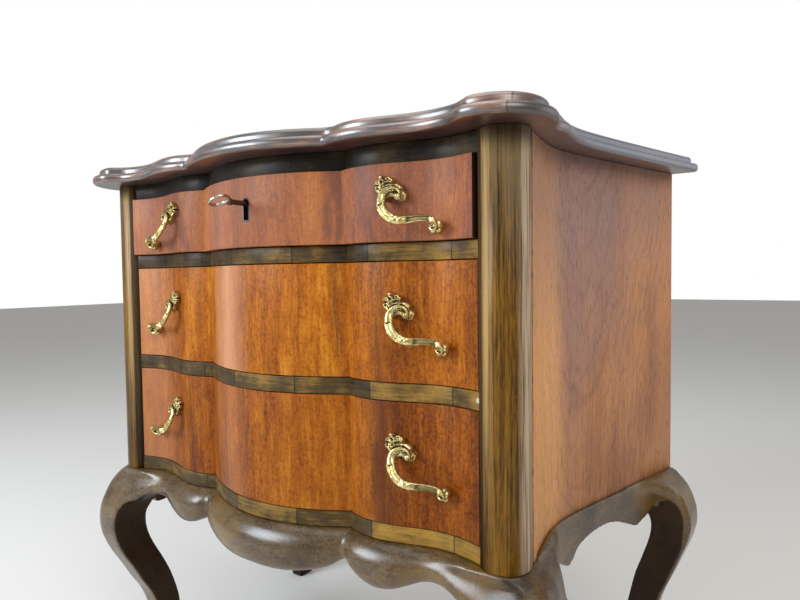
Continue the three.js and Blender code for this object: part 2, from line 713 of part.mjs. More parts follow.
// A pull for the right side, with its volute so far from the middle and so high
function makePull(middle, height) {
  const place = ([across, up]) => [middle + pullSpan * across, height + pullSpan * up];
  const line = new THREE.CatmullRomCurve3(
    gripShares.map(([across, up, stand]) => {
      const [x, z] = place([across, up]);
      return new THREE.Vector3(x, frontDepth(x) - gripStand * stand, z);
    }),
  );
  const radiusRows = gripShares.map(([, , , radius], i) => [i / (gripShares.length - 1), radius]);
  const rings = steps(0, 1, 26).map((t) => {
    const centre = line.getPoint(t);
    const along = line.getTangent(t);
    const side = new THREE.Vector3(0, 1, 0).cross(along).normalize();
    const over = along.clone().cross(side);
    const radius = gripRadius * readCurve(radiusRows, t);
    return steps(0, 2 * Math.PI, 8).slice(1).map((a) =>
      centre.clone().addScaledVector(side, radius * Math.cos(a)).addScaledVector(over, radius * Math.sin(a)),
    );
  });
  const grip = loft(rings, fanFaces(rings[0].length));
  const [headX, headZ] = place(headPostShare);
  const [endX, endZ] = place(scrollShare);
  const shape = new THREE.Shape(leafShares.map(place).map(([x, z]) => at2(x, z)));
  const leaf = new THREE.ExtrudeGeometry(shape, {
    depth: leafThickness,
    bevelThickness: leafThickness / 3,
    bevelSize: leafThickness / 4,
    bevelOffset: -leafThickness / 4,
    bevelSegments: 1,
  });
  leaf.rotateX(Math.PI / 2).translate(0, frontDepth(headX), 0);
  const face = frontDepth(endX);
  const scroll = rod(scrollRadius, endX, endZ, face - scrollWidth, face + overrun, 14);
  const postStand = gripStand * headPostStandShare;
  const post = rod(postRadius, headX, headZ, frontDepth(headX) - postStand, frontDepth(headX) + overrun, 10);
  const [left, right] = [middle - pullSpan, middle + pullSpan];
  const faceLine = steps(left, right, 24).map((x) => [x, frontDepth(x) - fit]);
  const behind = [...faceLine, [right, bodyDepth], [left, bodyDepth]];
  const wall = prism(behind, height - pullSpan, height + pullSpan);
  const seated = cut(join(grip, leaf, scroll, post), wall);
  const studs = fixings.map(({ share, reach }) => {
    const [x, z] = place(share);
    return rod(studRadius, x, z, frontDepth(x) - leafThickness / 2, frontDepth(x) + reach, 8);
  });
  const nutFace = frontDepth(headX + nutRadius) + frontThickness + fit;
  const nut = rod(nutRadius, headX, headZ, nutFace, nutFace + nutHeight, 6);
  return join(seated, ...studs, nut);
}

// Drawers: a shaped front, straight sides, a back and a thin bottom
const drawerStations = frontStations(drawerHalf, 14, 11);

// Holes for the two fixings of a pull, on the right side for 1 and on the left side for -1
function pullHoles(middle, height, side) {
  return fixings.map(({ share: [across, up], reach }) => {
    const x = middle + pullSpan * across;
    const end = frontDepth(x) + reach + fit;
    return rod(studRadius + fit, x * side, height + pullSpan * up, 0, end, 8);
  });
}

function makeDrawerFront(base, top, extraCuts) {
  const outer = drawerStations.map((x) => [x, frontDepth(x)]);
  const inner = drawerStations.map((x) => [x, frontDepth(x) + frontThickness]).reverse();
  return cut(prism([...outer, ...inner], base + frontGap, top - frontGap), ...extraCuts);
}

const boxInner = drawerHalf - drawerSideThickness;

function makeDrawerSide(base, top) {
  const front = Math.max(frontDepth(drawerHalf), frontDepth(boxInner)) + frontThickness + fit;
  return block(boxInner, front, base + fit, drawerHalf, drawerReach, top - rimDrop);
}

function makeDrawerBack(base, top) {
  const half = boxInner - fit;
  const under = base + bottomInset + bottomThickness + fit;
  return block(-half, drawerReach - drawerBackThickness, under, half, drawerReach, top - rimDrop);
}

function makeDrawerBottom(base) {
  const half = boxInner - fit;
  const places = [-half, ...drawerStations.filter((x) => Math.abs(x) < half), half];
  const front = places.map((x) => [x, frontDepth(x) + frontThickness + fit]);
  const outline = [...front, [half, drawerReach], [-half, drawerReach]];
  return prism(outline, base + bottomInset, base + bottomInset + bottomThickness);
}

// The left pull may sit nearer the middle than the right one
function addDrawer(name, base, top, pullRise, leftPullShift, lockCuts) {
  const pullHeight = base + pullRise;
  const leftPullAt = pullAt - leftPullShift;
  const holes = [...pullHoles(pullAt, pullHeight, 1), ...pullHoles(leftPullAt, pullHeight, -1)];
  const drawer = new THREE.Group();
  addMesh(drawer, name + '_front', makeDrawerFront(base, top, [...holes, ...lockCuts]), materials.veneer);
  addPair(drawer, name + '_side', makeDrawerSide(base, top), materials.inner);
  addMesh(drawer, name + '_back', makeDrawerBack(base, top), materials.inner);
  addMesh(drawer, name + '_bottom', makeDrawerBottom(base), materials.inner);
  addMesh(drawer, name + '_pull_right', makePull(pullAt, pullHeight), materials.brass);
  addMesh(drawer, name + '_pull_left', makePull(leftPullAt, pullHeight), materials.brass).scale.x = -1;
  group.add(drawer);
  return drawer;
}

// Lock: a case let into the back of the top drawer front, a bolt that rises into the top rail, and the key

// The outline of a keyhole, round at the top and straight below, grown by a distance
function keyhole(grow, y0, y1) {
  const round = keyholeRound + grow;
  const half = keyholeHalf + grow;
  const meet = Math.asin(half / round);
  const arc = steps(-Math.PI / 2 + meet, Math.PI * 1.5 - meet, 14).map((a) => at2(
    keyAt + round * Math.cos(a),
    keyHeight + round * Math.sin(a),
  ));
  const low = keyHeight - keyholeDrop - grow;
  const shape = new THREE.Shape([...arc, at2(keyAt - half, low), at2(keyAt + half, low)]);
  const geometry = new THREE.ExtrudeGeometry(shape, { depth: y1 - y0, bevelEnabled: false });
  return geometry.rotateX(Math.PI / 2).translate(0, y1, 0);
}

function makeLockCuts() {
  const half = lockWidth / 2 + fit;
  const deep = faceAtKey + frontThickness * 2;
  const pocket = block(keyAt - half, lockFront - fit, lockBase - fit, keyAt + half, deep, lockTop + overrun);
  const liner = keyhole(keyholeWall + fit, -overrun, faceAtKey + keyholeDepth + fit);
  return [pocket, liner, keyhole(0, -overrun, lockFront)];
}

function makeLockCase() {
  const half = lockWidth / 2;
  const body = block(keyAt - half, lockFront, lockBase, keyAt + half, lockFront + lockDepth, lockTop);
  const room = block(
    keyAt - boltWidth / 2 - fit,
    boltFront - fit,
    boltBase - boltThrow - fit,
    keyAt + boltWidth / 2 + fit,
    boltFront + boltThickness + fit,
    lockTop + overrun,
  );
  const swing = rod(bitSwing, keyAt, keyHeight, boltFront - fit, boltFront + bitWidth + fit, 20);
  return cut(body, room, swing, keyhole(0, lockFront - overrun, boltFront));
}

function makeBolt() {
  const half = boltWidth / 2;
  return block(keyAt - half, boltFront, boltBase, keyAt + half, boltFront + boltThickness, boltTop);
}

// The key lies turned a quarter, so its bow is level and its bit points sideways
function makeKey() {
  const bowOutline = (grow) => {
    const path = new THREE.Shape();
    path.absellipse(keyAt, bowMiddle, bowHalfWidth + grow, bowHalfLength + grow, 0, 2 * Math.PI, false, 0);
    return path;
  };
  const bowShape = bowOutline(bowWire);
  bowShape.holes.push(bowOutline(-bowWire));
  const bow = new THREE.ExtrudeGeometry(bowShape, {
    depth: bowWire,
    bevelThickness: bowWire / 2,
    bevelSize: bowWire / 2,
    bevelOffset: -bowWire / 2,
    bevelSegments: 1,
    curveSegments: 14,
  });
  bow.translate(0, 0, keyHeight - bowWire / 2);
  const shankFront = bowMiddle + bowHalfLength;
  const shankBack = boltFront + bitWidth;
  const shank = rod(shankRadius, keyAt, keyHeight, shankFront, shankBack, 12);
  const collarFront = shankFront + bowWire;
  const collar = rod(collarRadius, keyAt, keyHeight, collarFront, collarFront + collarLength, 12);
  const bitEnd = keyAt + shankRadius + bitReach;
  const bitHalf = bitThickness / 2;
  const bit = block(keyAt, boltFront, keyHeight - bitHalf, bitEnd, shankBack, keyHeight + bitHalf);
  const level = join(bow, shank, collar, bit);
  level.translate(-keyAt, 0, -keyHeight);
  level.rotateY(-THREE.MathUtils.degToRad(keyTurn));
  return level.translate(keyAt, 0, keyHeight);
}

const escutcheon = cut(
  keyhole(keyholeWall, faceAtKey - fit, faceAtKey + keyholeDepth),
  keyhole(0, faceAtKey - overrun, faceAtKey + keyholeDepth + overrun),
);

addDrawer('bottom_drawer', bottomOpeningFloor, lowerDivider, bottomPullRise, 0, []);
addDrawer('middle_drawer', middleOpeningFloor, upperDivider, middlePullRise, 0, []);
const lockCuts = makeLockCuts();
const topDrawer = addDrawer(
  'top_drawer', topOpeningFloor, topRailBase, topPullRise, topLeftPullShift, lockCuts,
);
topDrawer.position.y = -topDrawerAjar;
addMesh(topDrawer, 'keyhole_liner', escutcheon, materials.steel);
addMesh(topDrawer, 'lock_case', makeLockCase(), materials.steel);
addMesh(topDrawer, 'lock_bolt', makeBolt(), materials.steel);
addMesh(topDrawer, 'key', makeKey(), materials.steel);

export default group;
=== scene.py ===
import math

import bmesh
import bpy
import numpy as np
from mathutils import Matrix, Vector
from mathutils.bvhtree import BVHTree


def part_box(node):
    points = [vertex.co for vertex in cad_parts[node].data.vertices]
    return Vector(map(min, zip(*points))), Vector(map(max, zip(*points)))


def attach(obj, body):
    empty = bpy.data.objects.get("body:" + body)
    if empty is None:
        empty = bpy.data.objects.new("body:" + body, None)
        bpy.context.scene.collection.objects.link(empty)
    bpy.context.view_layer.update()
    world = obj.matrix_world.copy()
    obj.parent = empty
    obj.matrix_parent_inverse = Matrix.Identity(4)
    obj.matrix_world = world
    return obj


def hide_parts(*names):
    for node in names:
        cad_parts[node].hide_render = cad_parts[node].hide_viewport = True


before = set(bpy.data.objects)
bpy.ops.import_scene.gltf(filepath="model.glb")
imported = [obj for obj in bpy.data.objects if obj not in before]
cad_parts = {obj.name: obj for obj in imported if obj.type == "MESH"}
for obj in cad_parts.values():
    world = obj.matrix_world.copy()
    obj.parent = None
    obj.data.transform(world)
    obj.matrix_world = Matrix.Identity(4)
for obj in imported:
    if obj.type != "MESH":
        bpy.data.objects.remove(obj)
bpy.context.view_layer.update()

# The chest's own curves. Lengths are in millimetres, and Y runs back from the foremost drawer face.
planValues = {
    "lobeHalf": 117.4, "creaseDepth": 37, "creaseRun": 20,  # middle lobe and the crease beside it
    "crestAt": 155, "crestDepth": 28, "troughAt": 237, "troughDepth": 43.4,  # the wave out to the post
    "openingHalf": 282, "bodyDepth": 437, "panelThickness": 18, "gap": 0.3,
    "waistHalf": 310.5, "waistAt": 158, "waistRound": 40, "frontFlare": 0.21, "backFlare": 0.29,
    "columnAxis": 300, "columnAxisDepth": 51, "columnRadius": 26, "postDepth": 84,
    "caseBase": 336.3, "caseTop": 758.5, "ajar": 8,  # ajar: how far the top drawer stands open
}
millimetre = 0.001
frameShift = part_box("back_panel")[1][1] / millimetre - planValues["bodyDepth"]


def toFrame(points):
    return (np.asarray(points, dtype=float) + np.array([0, frameShift, 0])) * millimetre


def depthInFrame(y):
    return (y + frameShift) * millimetre


def frontDepth(x):
    p = planValues
    away = abs(x)
    if away <= p["lobeHalf"]:
        return p["creaseDepth"] * (away / p["lobeHalf"]) ** 2
    left = max(0, 1 - (away - p["lobeHalf"]) / p["creaseRun"])
    return waveDepth(away) + (p["creaseDepth"] - waveDepth(p["lobeHalf"])) * left ** 2


def waveDepth(away):
    p = planValues
    mean = (p["crestDepth"] + p["troughDepth"]) / 2
    swing = (p["troughDepth"] - p["crestDepth"]) / 2
    return mean - swing * math.cos(math.pi * (away - p["crestAt"]) / (p["troughAt"] - p["crestAt"]))


def sideHalf(y):
    p = planValues
    share = p["frontFlare"] if y < p["waistAt"] else p["backFlare"]
    return p["waistHalf"] + share * (math.hypot(y - p["waistAt"], p["waistRound"]) - p["waistRound"])


def frontStations(half, step):
    lobe = planValues["lobeHalf"]
    wing = list(np.linspace(lobe, half, max(2, round((half - lobe) / step))))
    middle = list(np.linspace(-lobe, lobe, round(2 * lobe / step)))
    return [-x for x in reversed(wing)] + middle[1:-1] + wing


def readCurve(rows, place):
    last = len(rows) - 1
    after = next((i for i, row in enumerate(rows) if row[0] >= place), last)
    after = min(max(after, 1), last)

    def slope(i):
        low, high = rows[max(i - 1, 0)], rows[min(i + 1, last)]
        return (high[1] - low[1]) / (high[0] - low[0])

    (start, low), (end, high) = rows[after - 1], rows[after]
    run = end - start
    t = min(max((place - start) / run, 0), 1)
    first = (1 - t) ** 2 * ((1 + 2 * t) * low + t * run * slope(after - 1))
    return first + t * t * ((3 - 2 * t) * high + (t - 1) * run * slope(after))


def smooth(t):
    t = min(max(t, 0), 1)
    return t * t * (3 - 2 * t)


def readRows(rows, place):
    if place <= rows[0][0]:
        return rows[0][1]
    for (start, low), (end, high) in zip(rows, rows[1:]):
        if place <= end:
            return low + (high - low) * smooth((place - start) / (end - start))
    return rows[-1][1]


def throughPoints(points, count):  # a smooth line through points
    points = np.array(points, dtype=float)
    around = np.vstack([2 * points[0] - points[1], points, 2 * points[-1] - points[-2]])
    made = []
    for t in np.linspace(0, len(points) - 1, count):
        i = min(int(t), len(points) - 2)
        f = t - i
        a, b, c, d = around[i:i + 4]
        square, cube = 2 * a - 5 * b + 4 * c - d, 3 * b - a - 3 * c + d
        made.append(0.5 * (2 * b + (c - a) * f + square * f ** 2 + cube * f ** 3))
    return np.array(made)


def arcPoints(x, y, radius, angles):
    return [(x + radius * math.cos(a), y + radius * math.sin(a)) for a in angles]


# Nodes: arithmetic on sockets, and one method for each other node.


def operator(kind, swapped=False):
    def act(wire, other):
        return wire.graph.math(kind, other, wire) if swapped else wire.graph.math(kind, wire, other)
    return act


class Wire:
    def __init__(self, graph, socket):
        self.graph = graph
        self.socket = socket

    __add__, __radd__ = operator("ADD"), operator("ADD", True)
    __sub__, __rsub__ = operator("SUBTRACT"), operator("SUBTRACT", True)
    __mul__, __rmul__ = operator("MULTIPLY"), operator("MULTIPLY", True)
    __truediv__, __rtruediv__ = operator("DIVIDE"), operator("DIVIDE", True)
    __pow__, __lt__, __gt__ = operator("POWER"), operator("LESS_THAN"), operator("GREATER_THAN")

    def __abs__(self):
        return self.graph.math("ABSOLUTE", self)


class Graph:
    def __init__(self, tree):
        self.tree = tree

    def add(self, kind, inputs=None, output=0, **settings):
        node = self.tree.nodes.new(kind)
        for name, value in settings.items():
            setattr(node, name, value)
        for name, value in (inputs or {}).items():
            if isinstance(value, Wire):
                self.tree.links.new(value.socket, node.inputs[name])
            else:
                node.inputs[name].default_value = value
        return Wire(self, node.outputs[output])

    def close(self, kind, socketName, wire):
        output = self.tree.nodes.new(kind)
        self.tree.links.new(wire.socket, output.inputs[socketName])

    def math(self, operation, *values):
        return self.add("ShaderNodeMath", dict(enumerate(values)), operation=operation)

    def join(self, x, y, z):
        return self.add("ShaderNodeCombineXYZ", {0: x, 1: y, 2: z})

    def split(self, vector):
        node = self.add("ShaderNodeSeparateXYZ", {0: vector}).socket.node
        return [Wire(self, socket) for socket in node.outputs]

    def reach(self, a, b):
        return self.math("SQRT", a ** 2 + b ** 2)

    def normal(self):
        return self.split(self.add("ShaderNodeNewGeometry", output="Normal"))

    def noise(self, axes, scales, detail=3, roughness=0.5, shifts=(0, 0, 0), distortion=0):
        places = [axis * scale for axis, scale in zip(axes, scales)]
        places = [place if shift == 0 else place + shift for place, shift in zip(places, shifts)]
        return self.add("ShaderNodeTexNoise", {
            "Vector": self.join(*places), "Scale": 1, "Detail": detail, "Roughness": roughness,
            "Distortion": distortion})

    def noises(self, axes, rows, *names):
        return [self.noise(axes, *rows[name]) for name in names]

    def step(self, value, low, high, most=1):  # 0 below low, most above high
        return self.add("ShaderNodeMapRange", {
            "Value": value, "From Min": low, "From Max": high, "To Max": most}, interpolation_type="SMOOTHSTEP")

    def ramp(self, value, v):  # a finish's own ramp: rows of place and the name of a colour
        wire = self.add("ShaderNodeValToRGB", {0: value})
        elements = wire.socket.node.color_ramp.elements
        while len(elements) < len(v["ramp"]):
            elements.new(0.5)
        for element, (place, colour) in zip(elements, v["ramp"]):
            element.position = place
            element.color = (*v[colour], 1)
        return wire

    def weigh(self, wires, shares):
        total = wires[0] * shares[0]
        for wire, share in zip(wires[1:], shares[1:]):
            total = total + wire * share
        return total

    def blend(self, share, first, second, kind="MIX"):
        first, second = [c if isinstance(c, Wire) else (*c, 1) for c in (first, second)]
        return self.add("ShaderNodeMix", {0: share, 6: first, 7: second}, 2, data_type="RGBA", blend_type=kind)

    def bump(self, height, strength, distance):
        return self.add("ShaderNodeBump", {"Height": height, "Strength": strength, "Distance": distance})


def ink(red, green, blue):  # a screen colour, 0 to 255, as the linear value that a shader takes
    return tuple((c / 255 / 12.92) if c <= 10 else ((c / 255 + 0.055) / 1.055) ** 2.4 for c in (red, green, blue))


def newFinish(name):
    material = bpy.data.materials.new(name)
    material.use_nodes = True
    material.node_tree.nodes.clear()
    g = Graph(material.node_tree)
    return material, g, g.split(g.add("ShaderNodeTexCoord", output="Object"))


def closeFinish(material, g, v, colour, uneven, height=None, rougher=0, **varying):
    inputs = {"Base Color": colour, "Roughness": v["roughness"] + rougher + (uneven - 0.5) * v["uneven"]}
    if height is not None:
        inputs["Normal"] = g.bump(height, *v["bump"])
    inputs.update(v.get("varnish", {}))
    inputs.update({name.replace("_", " "): value for name, value in varying.items()})
    g.close("ShaderNodeOutputMaterial", "Surface", g.add("ShaderNodeBsdfPrincipled", inputs))
    return material


# Finishes. A noise row holds scales along X, Y and Z, detail, roughness and shifts. A step row holds the value
# where it starts, the value where it is full, and how strong it is then.


veneerValues = {
    "dark": ink(74, 33, 5), "mid": ink(129, 65, 8), "warm": ink(164, 91, 14), "light": ink(198, 130, 36),
    "plum": ink(76, 36, 24), "pore": ink(48, 20, 6), "colourCast": ink(210, 156, 124), "end": ink(40, 22, 12),
    # Painted shade: the top drawer is dimmed to a cooler colour, more to the right, and the bottom drawer is dimmed.
    "topShadeTint": ink(232, 226, 255), "bottomShadeTint": ink(228, 222, 220),
    "lanes": [(-0.152, 0.026), (0.106, 0.014), (0.166, 0.03)],  # where dark streaks run: place and half width
    # The pale cast is a painted sheen: a lane of it left of the middle (fainter on the top and bottom drawers), a wash
    # over the whole top drawer, and more on the far left wing.
    "sheenLane": (-0.05, 0.05), "topDrawer": 0.655, "bottomDrawer": 0.49, "edge": 0.004,
    "swayNoise": ((5, 5, 4), 3), "bandNoise": ((19, 4, 1.6), 4, 0.6), "streakNoise": ((330, 90, 17), 5, 0.68),
    "plumNoise": ((13, 3, 2.6), 4, 0.6, (4.3, 0, 0)), "mottleNoise": ((84, 80, 36), 5, 0.66),
    "fleckNoise": ((330, 300, 230), 4, 0.62),
    "plumStep": (0.54, 0.78, 0.8), "poreStep": (0.56, 0.7, 0.5), "glowStep": (0.72, 0.9, 0.22),
    "leftSheenStep": (-0.17, -0.26), "rightShadeStep": (0.08, 0.2, 0.1), "endStep": (0.9, 0.96, 0.9),
    "ramp": [(0.37, "dark"), (0.45, "mid"), (0.52, "warm"), (0.61, "light")],
    "toneShares": (0.4, 0.15, 0.19, 0.26), "bottomShade": 0.012, "sway": 0.03, "laneDepth": 0.2, "glowFlecks": 0.4,
    "topPlum": 0.05, "topMottle": 0.9, "sheenShare": 0.6, "sheenLow": 0.6, "sheenHigh": 0.7,
    "topSheen": 0.2, "leftSheen": 0.3, "mostCast": 0.8, "topShadeShare": 0.9, "grainDepth": 0.4,
    "roughness": 0.5, "uneven": 0.25, "bump": (0.25, 0.0004),
    "varnish": {"Specular IOR Level": 0.12, "Coat Weight": 0.03, "Coat Roughness": 0.25},
}


def makeVeneer():
    v = veneerValues
    material, g, at = newFinish("walnutVeneer")
    x, y, z = at
    lane = x + (g.noise(at, *v["swayNoise"]) - 0.5) * v["sway"]
    bands, streaks, plum = g.noises((lane, y, z), v, "bandNoise", "streakNoise", "plumNoise")
    mottle, flecks = g.noises(at, v, "mottleNoise", "fleckNoise")
    low = g.step(z, v["bottomDrawer"] + v["edge"], v["bottomDrawer"])
    high = g.step(z, v["topDrawer"] - v["edge"], v["topDrawer"])

    def nearLane(place, half):
        return g.math("MAXIMUM", 0, 1 - abs(lane - place) / half)

    # The bottom drawer's tone is lowered a little: painted shade.
    tone = g.weigh((bands, streaks, mottle, flecks), v["toneShares"]) - low * v["bottomShade"]
    colour = g.ramp(tone, v)
    for row in v["lanes"]:
        plum = plum + nearLane(*row) * v["laneDepth"]
    plum = plum + high * (v["topPlum"] + (mottle - 0.5) * v["topMottle"])
    colour = g.blend(g.step(plum, *v["plumStep"]), colour, v["plum"])
    pores = g.step(flecks, *v["poreStep"])
    colour = g.blend(pores, colour, v["pore"])
    colour = g.blend(g.step(streaks + flecks * v["glowFlecks"], *v["glowStep"]), colour, v["light"])
    # Painted sheen: a pale reflection laid into the colour as a lane, as a wash over the top drawer and on the far left
    # wing.
    colourCast = nearLane(*v["sheenLane"]) * (1 - low * v["sheenLow"]) * v["sheenShare"] * (1 - high * v["sheenHigh"])
    colourCast = colourCast + high * v["topSheen"] + g.step(x, *v["leftSheenStep"]) * (v["leftSheen"] - high * v["topSheen"])
    colour = g.blend(g.math("MINIMUM", v["mostCast"], colourCast), colour, v["colourCast"])
    # Painted shade: the bottom drawer is dimmed, and the top drawer is dimmed and cooled, more towards its right end.
    colour = g.blend(low, colour, v["bottomShadeTint"], "MULTIPLY")
    colour = g.blend(high * (v["topShadeShare"] + g.step(x, *v["rightShadeStep"])), colour, v["topShadeTint"], "MULTIPLY")
    # The fronts' end faces are painted dark: a dark edge, with painted shade on it.
    colour = g.blend(g.step(abs(g.normal()[0]), *v["endStep"]), colour, v["end"])
    return closeFinish(material, g, v, colour, mottle, streaks * v["grainDepth"] - pores)


sideValues = {
    "base": ink(153, 103, 72), "light": ink(184, 127, 84), "dark": ink(110, 70, 52), "mauve": ink(150, 120, 114),
    "strip": ink(226, 164, 106), "pore": ink(84, 50, 37), "archMiddle": 0.03, "archRound": 0.004,
    "swayNoise": ((1, 6, 4), 4, 0.55), "swirlNoise": ((1, 16, 11), 3, 0.6, (2.1, 0, 0)),
    "zoneNoise": ((1, 9, 3), 4, 0.6, (0, 3, 0)), "fineNoise": ((120, 330, 13), 5, 0.68),
    "poreNoise": ((300, 720, 90), 3), "castNoise": ((1, 5, 3), 4, 0.5, (0, 8, 1)),
    "castStep": (0.38, 0.62, 0.6), "castFrontStep": (-0.02, 0.12), "castTopStep": (0.58, 0.74, 0.6),
    "stripStep": (-0.04, 0.006), "stripTopStep": (0.48, 0.7, 0.55), "stripGrainStep": (0.4, 0.7, 0.4),
    "ringStep": (0.66, 1, 0.24), "patchStep": (0.36, 0.62, 0.65), "backStep": (0.19, 0.222, 0.5),
    "poreStep": (0.54, 0.68, 0.5), "roughness": 0.52, "uneven": 0.2, "bump": (0.25, 0.0004),
    "ramp": [(0.34, "dark"), (0.44, "base"), (0.56, "light")], "toneShares": (0.62, 0.38), "grainDepth": 0.4,
    "archShares": (74, -22, 7, 1.1), "ringPace": 6.283, "warmBack": 0.25, "warmUp": 0.12,
    "castFrom": 0.16, "mostCast": 0.8, "stripSway": 0.03, "stripShare": 0.9, "backSway": 0.04,
    "stripRings": 0.4, "leastRings": 0.35,
    "varnish": {"Specular IOR Level": 0.2, "Coat Weight": 0.04, "Coat Roughness": 0.25},
}


def makeSideVeneer():
    v = sideValues
    material, g, at = newFinish("sideVeneer")
    x, y, z = at
    sway, swirl, zone = g.noises(at, v, "swayNoise", "swirlNoise", "zoneNoise")
    fine, pores, colourCast = g.noises(at, v, "fineNoise", "poreNoise", "castNoise")
    spread = g.math("SQRT", (y - v["archMiddle"]) ** 2 + v["archRound"])
    arches = g.weigh((spread, z, sway, swirl), v["archShares"])
    rings = g.math("SINE", arches * v["ringPace"]) * 0.5 + 0.5
    warm = zone + y * v["warmBack"] - z * v["warmUp"]
    colour = g.ramp(g.weigh((warm, fine), v["toneShares"]), v)
    # A mauve cast, in large patches over the front part of the panel and stronger towards the top.
    colourCast = g.step(colourCast, *v["castStep"]) * g.step(v["castFrom"] - y, *v["castFrontStep"])
    colourCast = g.math("MINIMUM", v["mostCast"], colourCast + g.step(z, *v["castTopStep"]))
    colour = g.blend(colourCast, colour, v["mauve"])
    inner = g.step(y + (sway - 0.5) * v["stripSway"], *v["stripStep"])  # 0 on the strip beside the column
    strip = g.blend(g.step(fine, *v["stripGrainStep"]), v["strip"], v["base"])
    colour = g.blend((1 - inner) * (v["stripShare"] - g.step(z, *v["stripTopStep"])), colour, strip)
    rings = g.step(rings, *v["ringStep"]) * (v["stripRings"] + inner * (1 - v["stripRings"]))
    rings = rings * (v["leastRings"] + g.step(swirl, *v["patchStep"]))
    colour = g.blend(rings, colour, v["dark"])
    colour = g.blend(g.step(y + (sway - 0.5) * v["backSway"], *v["backStep"]), colour, v["light"])
    pores = g.step(pores, *v["poreStep"])
    colour = g.blend(pores, colour, v["pore"])
    return closeFinish(material, g, v, colour, fine, fine * v["grainDepth"] - pores)


columnValues = {
    "black": ink(26, 16, 3), "base": ink(80, 52, 9), "gold": ink(122, 84, 17), "grey": ink(140, 106, 44),
    "wearAndHighlight": ink(180, 146, 96), "wearAndSheen": ink(176, 156, 132), "greyReflection": ink(112, 98, 74), "speck": ink(196, 168, 120),
    "swayNoise": ((9, 9, 3), 2), "streakNoise": ((420, 420, 8), 6, 0.66), "bandNoise": ((90, 90, 2.2), 4, 0.55),
    "cloudNoise": ((12, 12, 7), 4, 0.6), "fleckNoise": ((700, 700, 60), 2, 0.6), "speckNoise": ((420, 420, 420), 1),
    "greyReflectionStep": (0.62, 0.74, 0.6), "greyReflectionPatchStep": (0.36, 0.6), "shadowStep": (0.734, 0.756, 0.6),
    "speckStep": (0.79, 0.82, 0.5),
    "wearAndHighlightStep": (-1.5, -1.85, 0.7), "flankStep": (-1.98, -2.1, 0.85), "wearAndSheenStep": (-0.75, -0.25),  # radians
    "wearAndHighlightPatchStep": (0.35, 0.6, 0.65), "wearAndHighlightFootStep": (0.34, 0.56), "edgeSheenPatchStep": (0.3, 0.62),
    "roughness": 0.45, "uneven": 0.25, "bump": (0.15, 0.0004), "sway": 3, "wearAndHighlightLeast": 0.35,
    "ramp": [(0.41, "black"), (0.48, "base"), (0.56, "gold"), (0.66, "grey")],
    "toneShares": (0.36, 0.24, 0.22, 0.18), "greyReflectionShares": (0.5, 0.5),
    "varnish": {"Specular IOR Level": 0.14, "Coat Weight": 0.06, "Coat Roughness": 0.2},
}


def makeColumnStain():
    v, p = columnValues, planValues
    material, g, at = newFinish("columnStain")
    x, y, z = at
    sway = g.noise(at, *v["swayNoise"]) - 0.5
    streaks = g.noise(at, *v["streakNoise"], (sway * v["sway"], 0, 0))
    bands, cloud, flecks, speck = g.noises(at, v, "bandNoise", "cloudNoise", "fleckNoise", "speckNoise")
    colour = g.ramp(g.weigh((streaks, bands, cloud, flecks), v["toneShares"]), v)
    # Painted reflection: the columns turn grey towards the top, in patches.
    greyReflection = g.step(z, *v["greyReflectionStep"]) * g.step(g.weigh((cloud, streaks), v["greyReflectionShares"]), *v["greyReflectionPatchStep"])
    colour = g.blend(greyReflection, colour, v["greyReflection"])
    turn = g.math("ARCTAN2", y - depthInFrame(p["columnAxisDepth"]), abs(x) - p["columnAxis"] * millimetre)
    # Painted sheen: a pale grey band on each column's outer front, broken up by the streaks.
    wearAndSheen = g.step(turn, *v["wearAndSheenStep"]) * g.step(streaks, *v["edgeSheenPatchStep"])
    colour = g.blend(wearAndSheen, colour, v["wearAndSheen"])
    # A pale strip down each column's front, just inside: rubbed wear and a painted highlight together, fading out
    # towards the foot.
    wearAndHighlight = g.step(turn, *v["wearAndHighlightStep"]) * (v["wearAndHighlightLeast"] + g.step(streaks, *v["wearAndHighlightPatchStep"]))
    colour = g.blend(wearAndHighlight * g.step(z, *v["wearAndHighlightFootStep"]), colour, v["wearAndHighlight"])
    shadow = g.math("MAXIMUM", g.step(turn, *v["flankStep"]), g.step(z, *v["shadowStep"]))
    colour = g.blend(shadow, colour, v["black"])
    colour = g.blend(g.step(speck, *v["speckStep"]), colour, v["speck"])
    return closeFinish(material, g, v, colour, streaks, streaks)


railValues = {
    "dark": ink(30, 22, 13), "base": ink(76, 58, 30), "gold": ink(150, 113, 46), "seam": ink(14, 10, 7),
    "segment": 0.094, "start": 0.37,  # length of a piece of the veneer, and where the first starts, in pieces
    "topRailShadeStep": (0.735, 0.737, 0.17), "lowRailStep": (0.57, 0.56, 0.02), "bottomRailStep": (0.36, 0.35, 0.05),
    "chip": (0.2795, 0.4985, 0.0032), "chipColour": ink(206, 196, 180),
    "streakNoise": ((34, 34, 420), 4, 0.6), "cloudNoise": ((26, 26, 30), 4, 0.6), "seamStep": (0.488, 0.497),
    "roughness": 0.48, "uneven": 0.2, "bump": (0.1, 0.0004), "toneShares": (0.3, 0.55, 0.15),
    "ramp": [(0.32, "dark"), (0.5, "base"), (0.68, "gold")], "pieceShift": 3.1, "seamShare": 0.8, "chipEdge": 0.004,
    "varnish": {"Specular IOR Level": 0.16, "Coat Weight": 0.06, "Coat Roughness": 0.2},
}


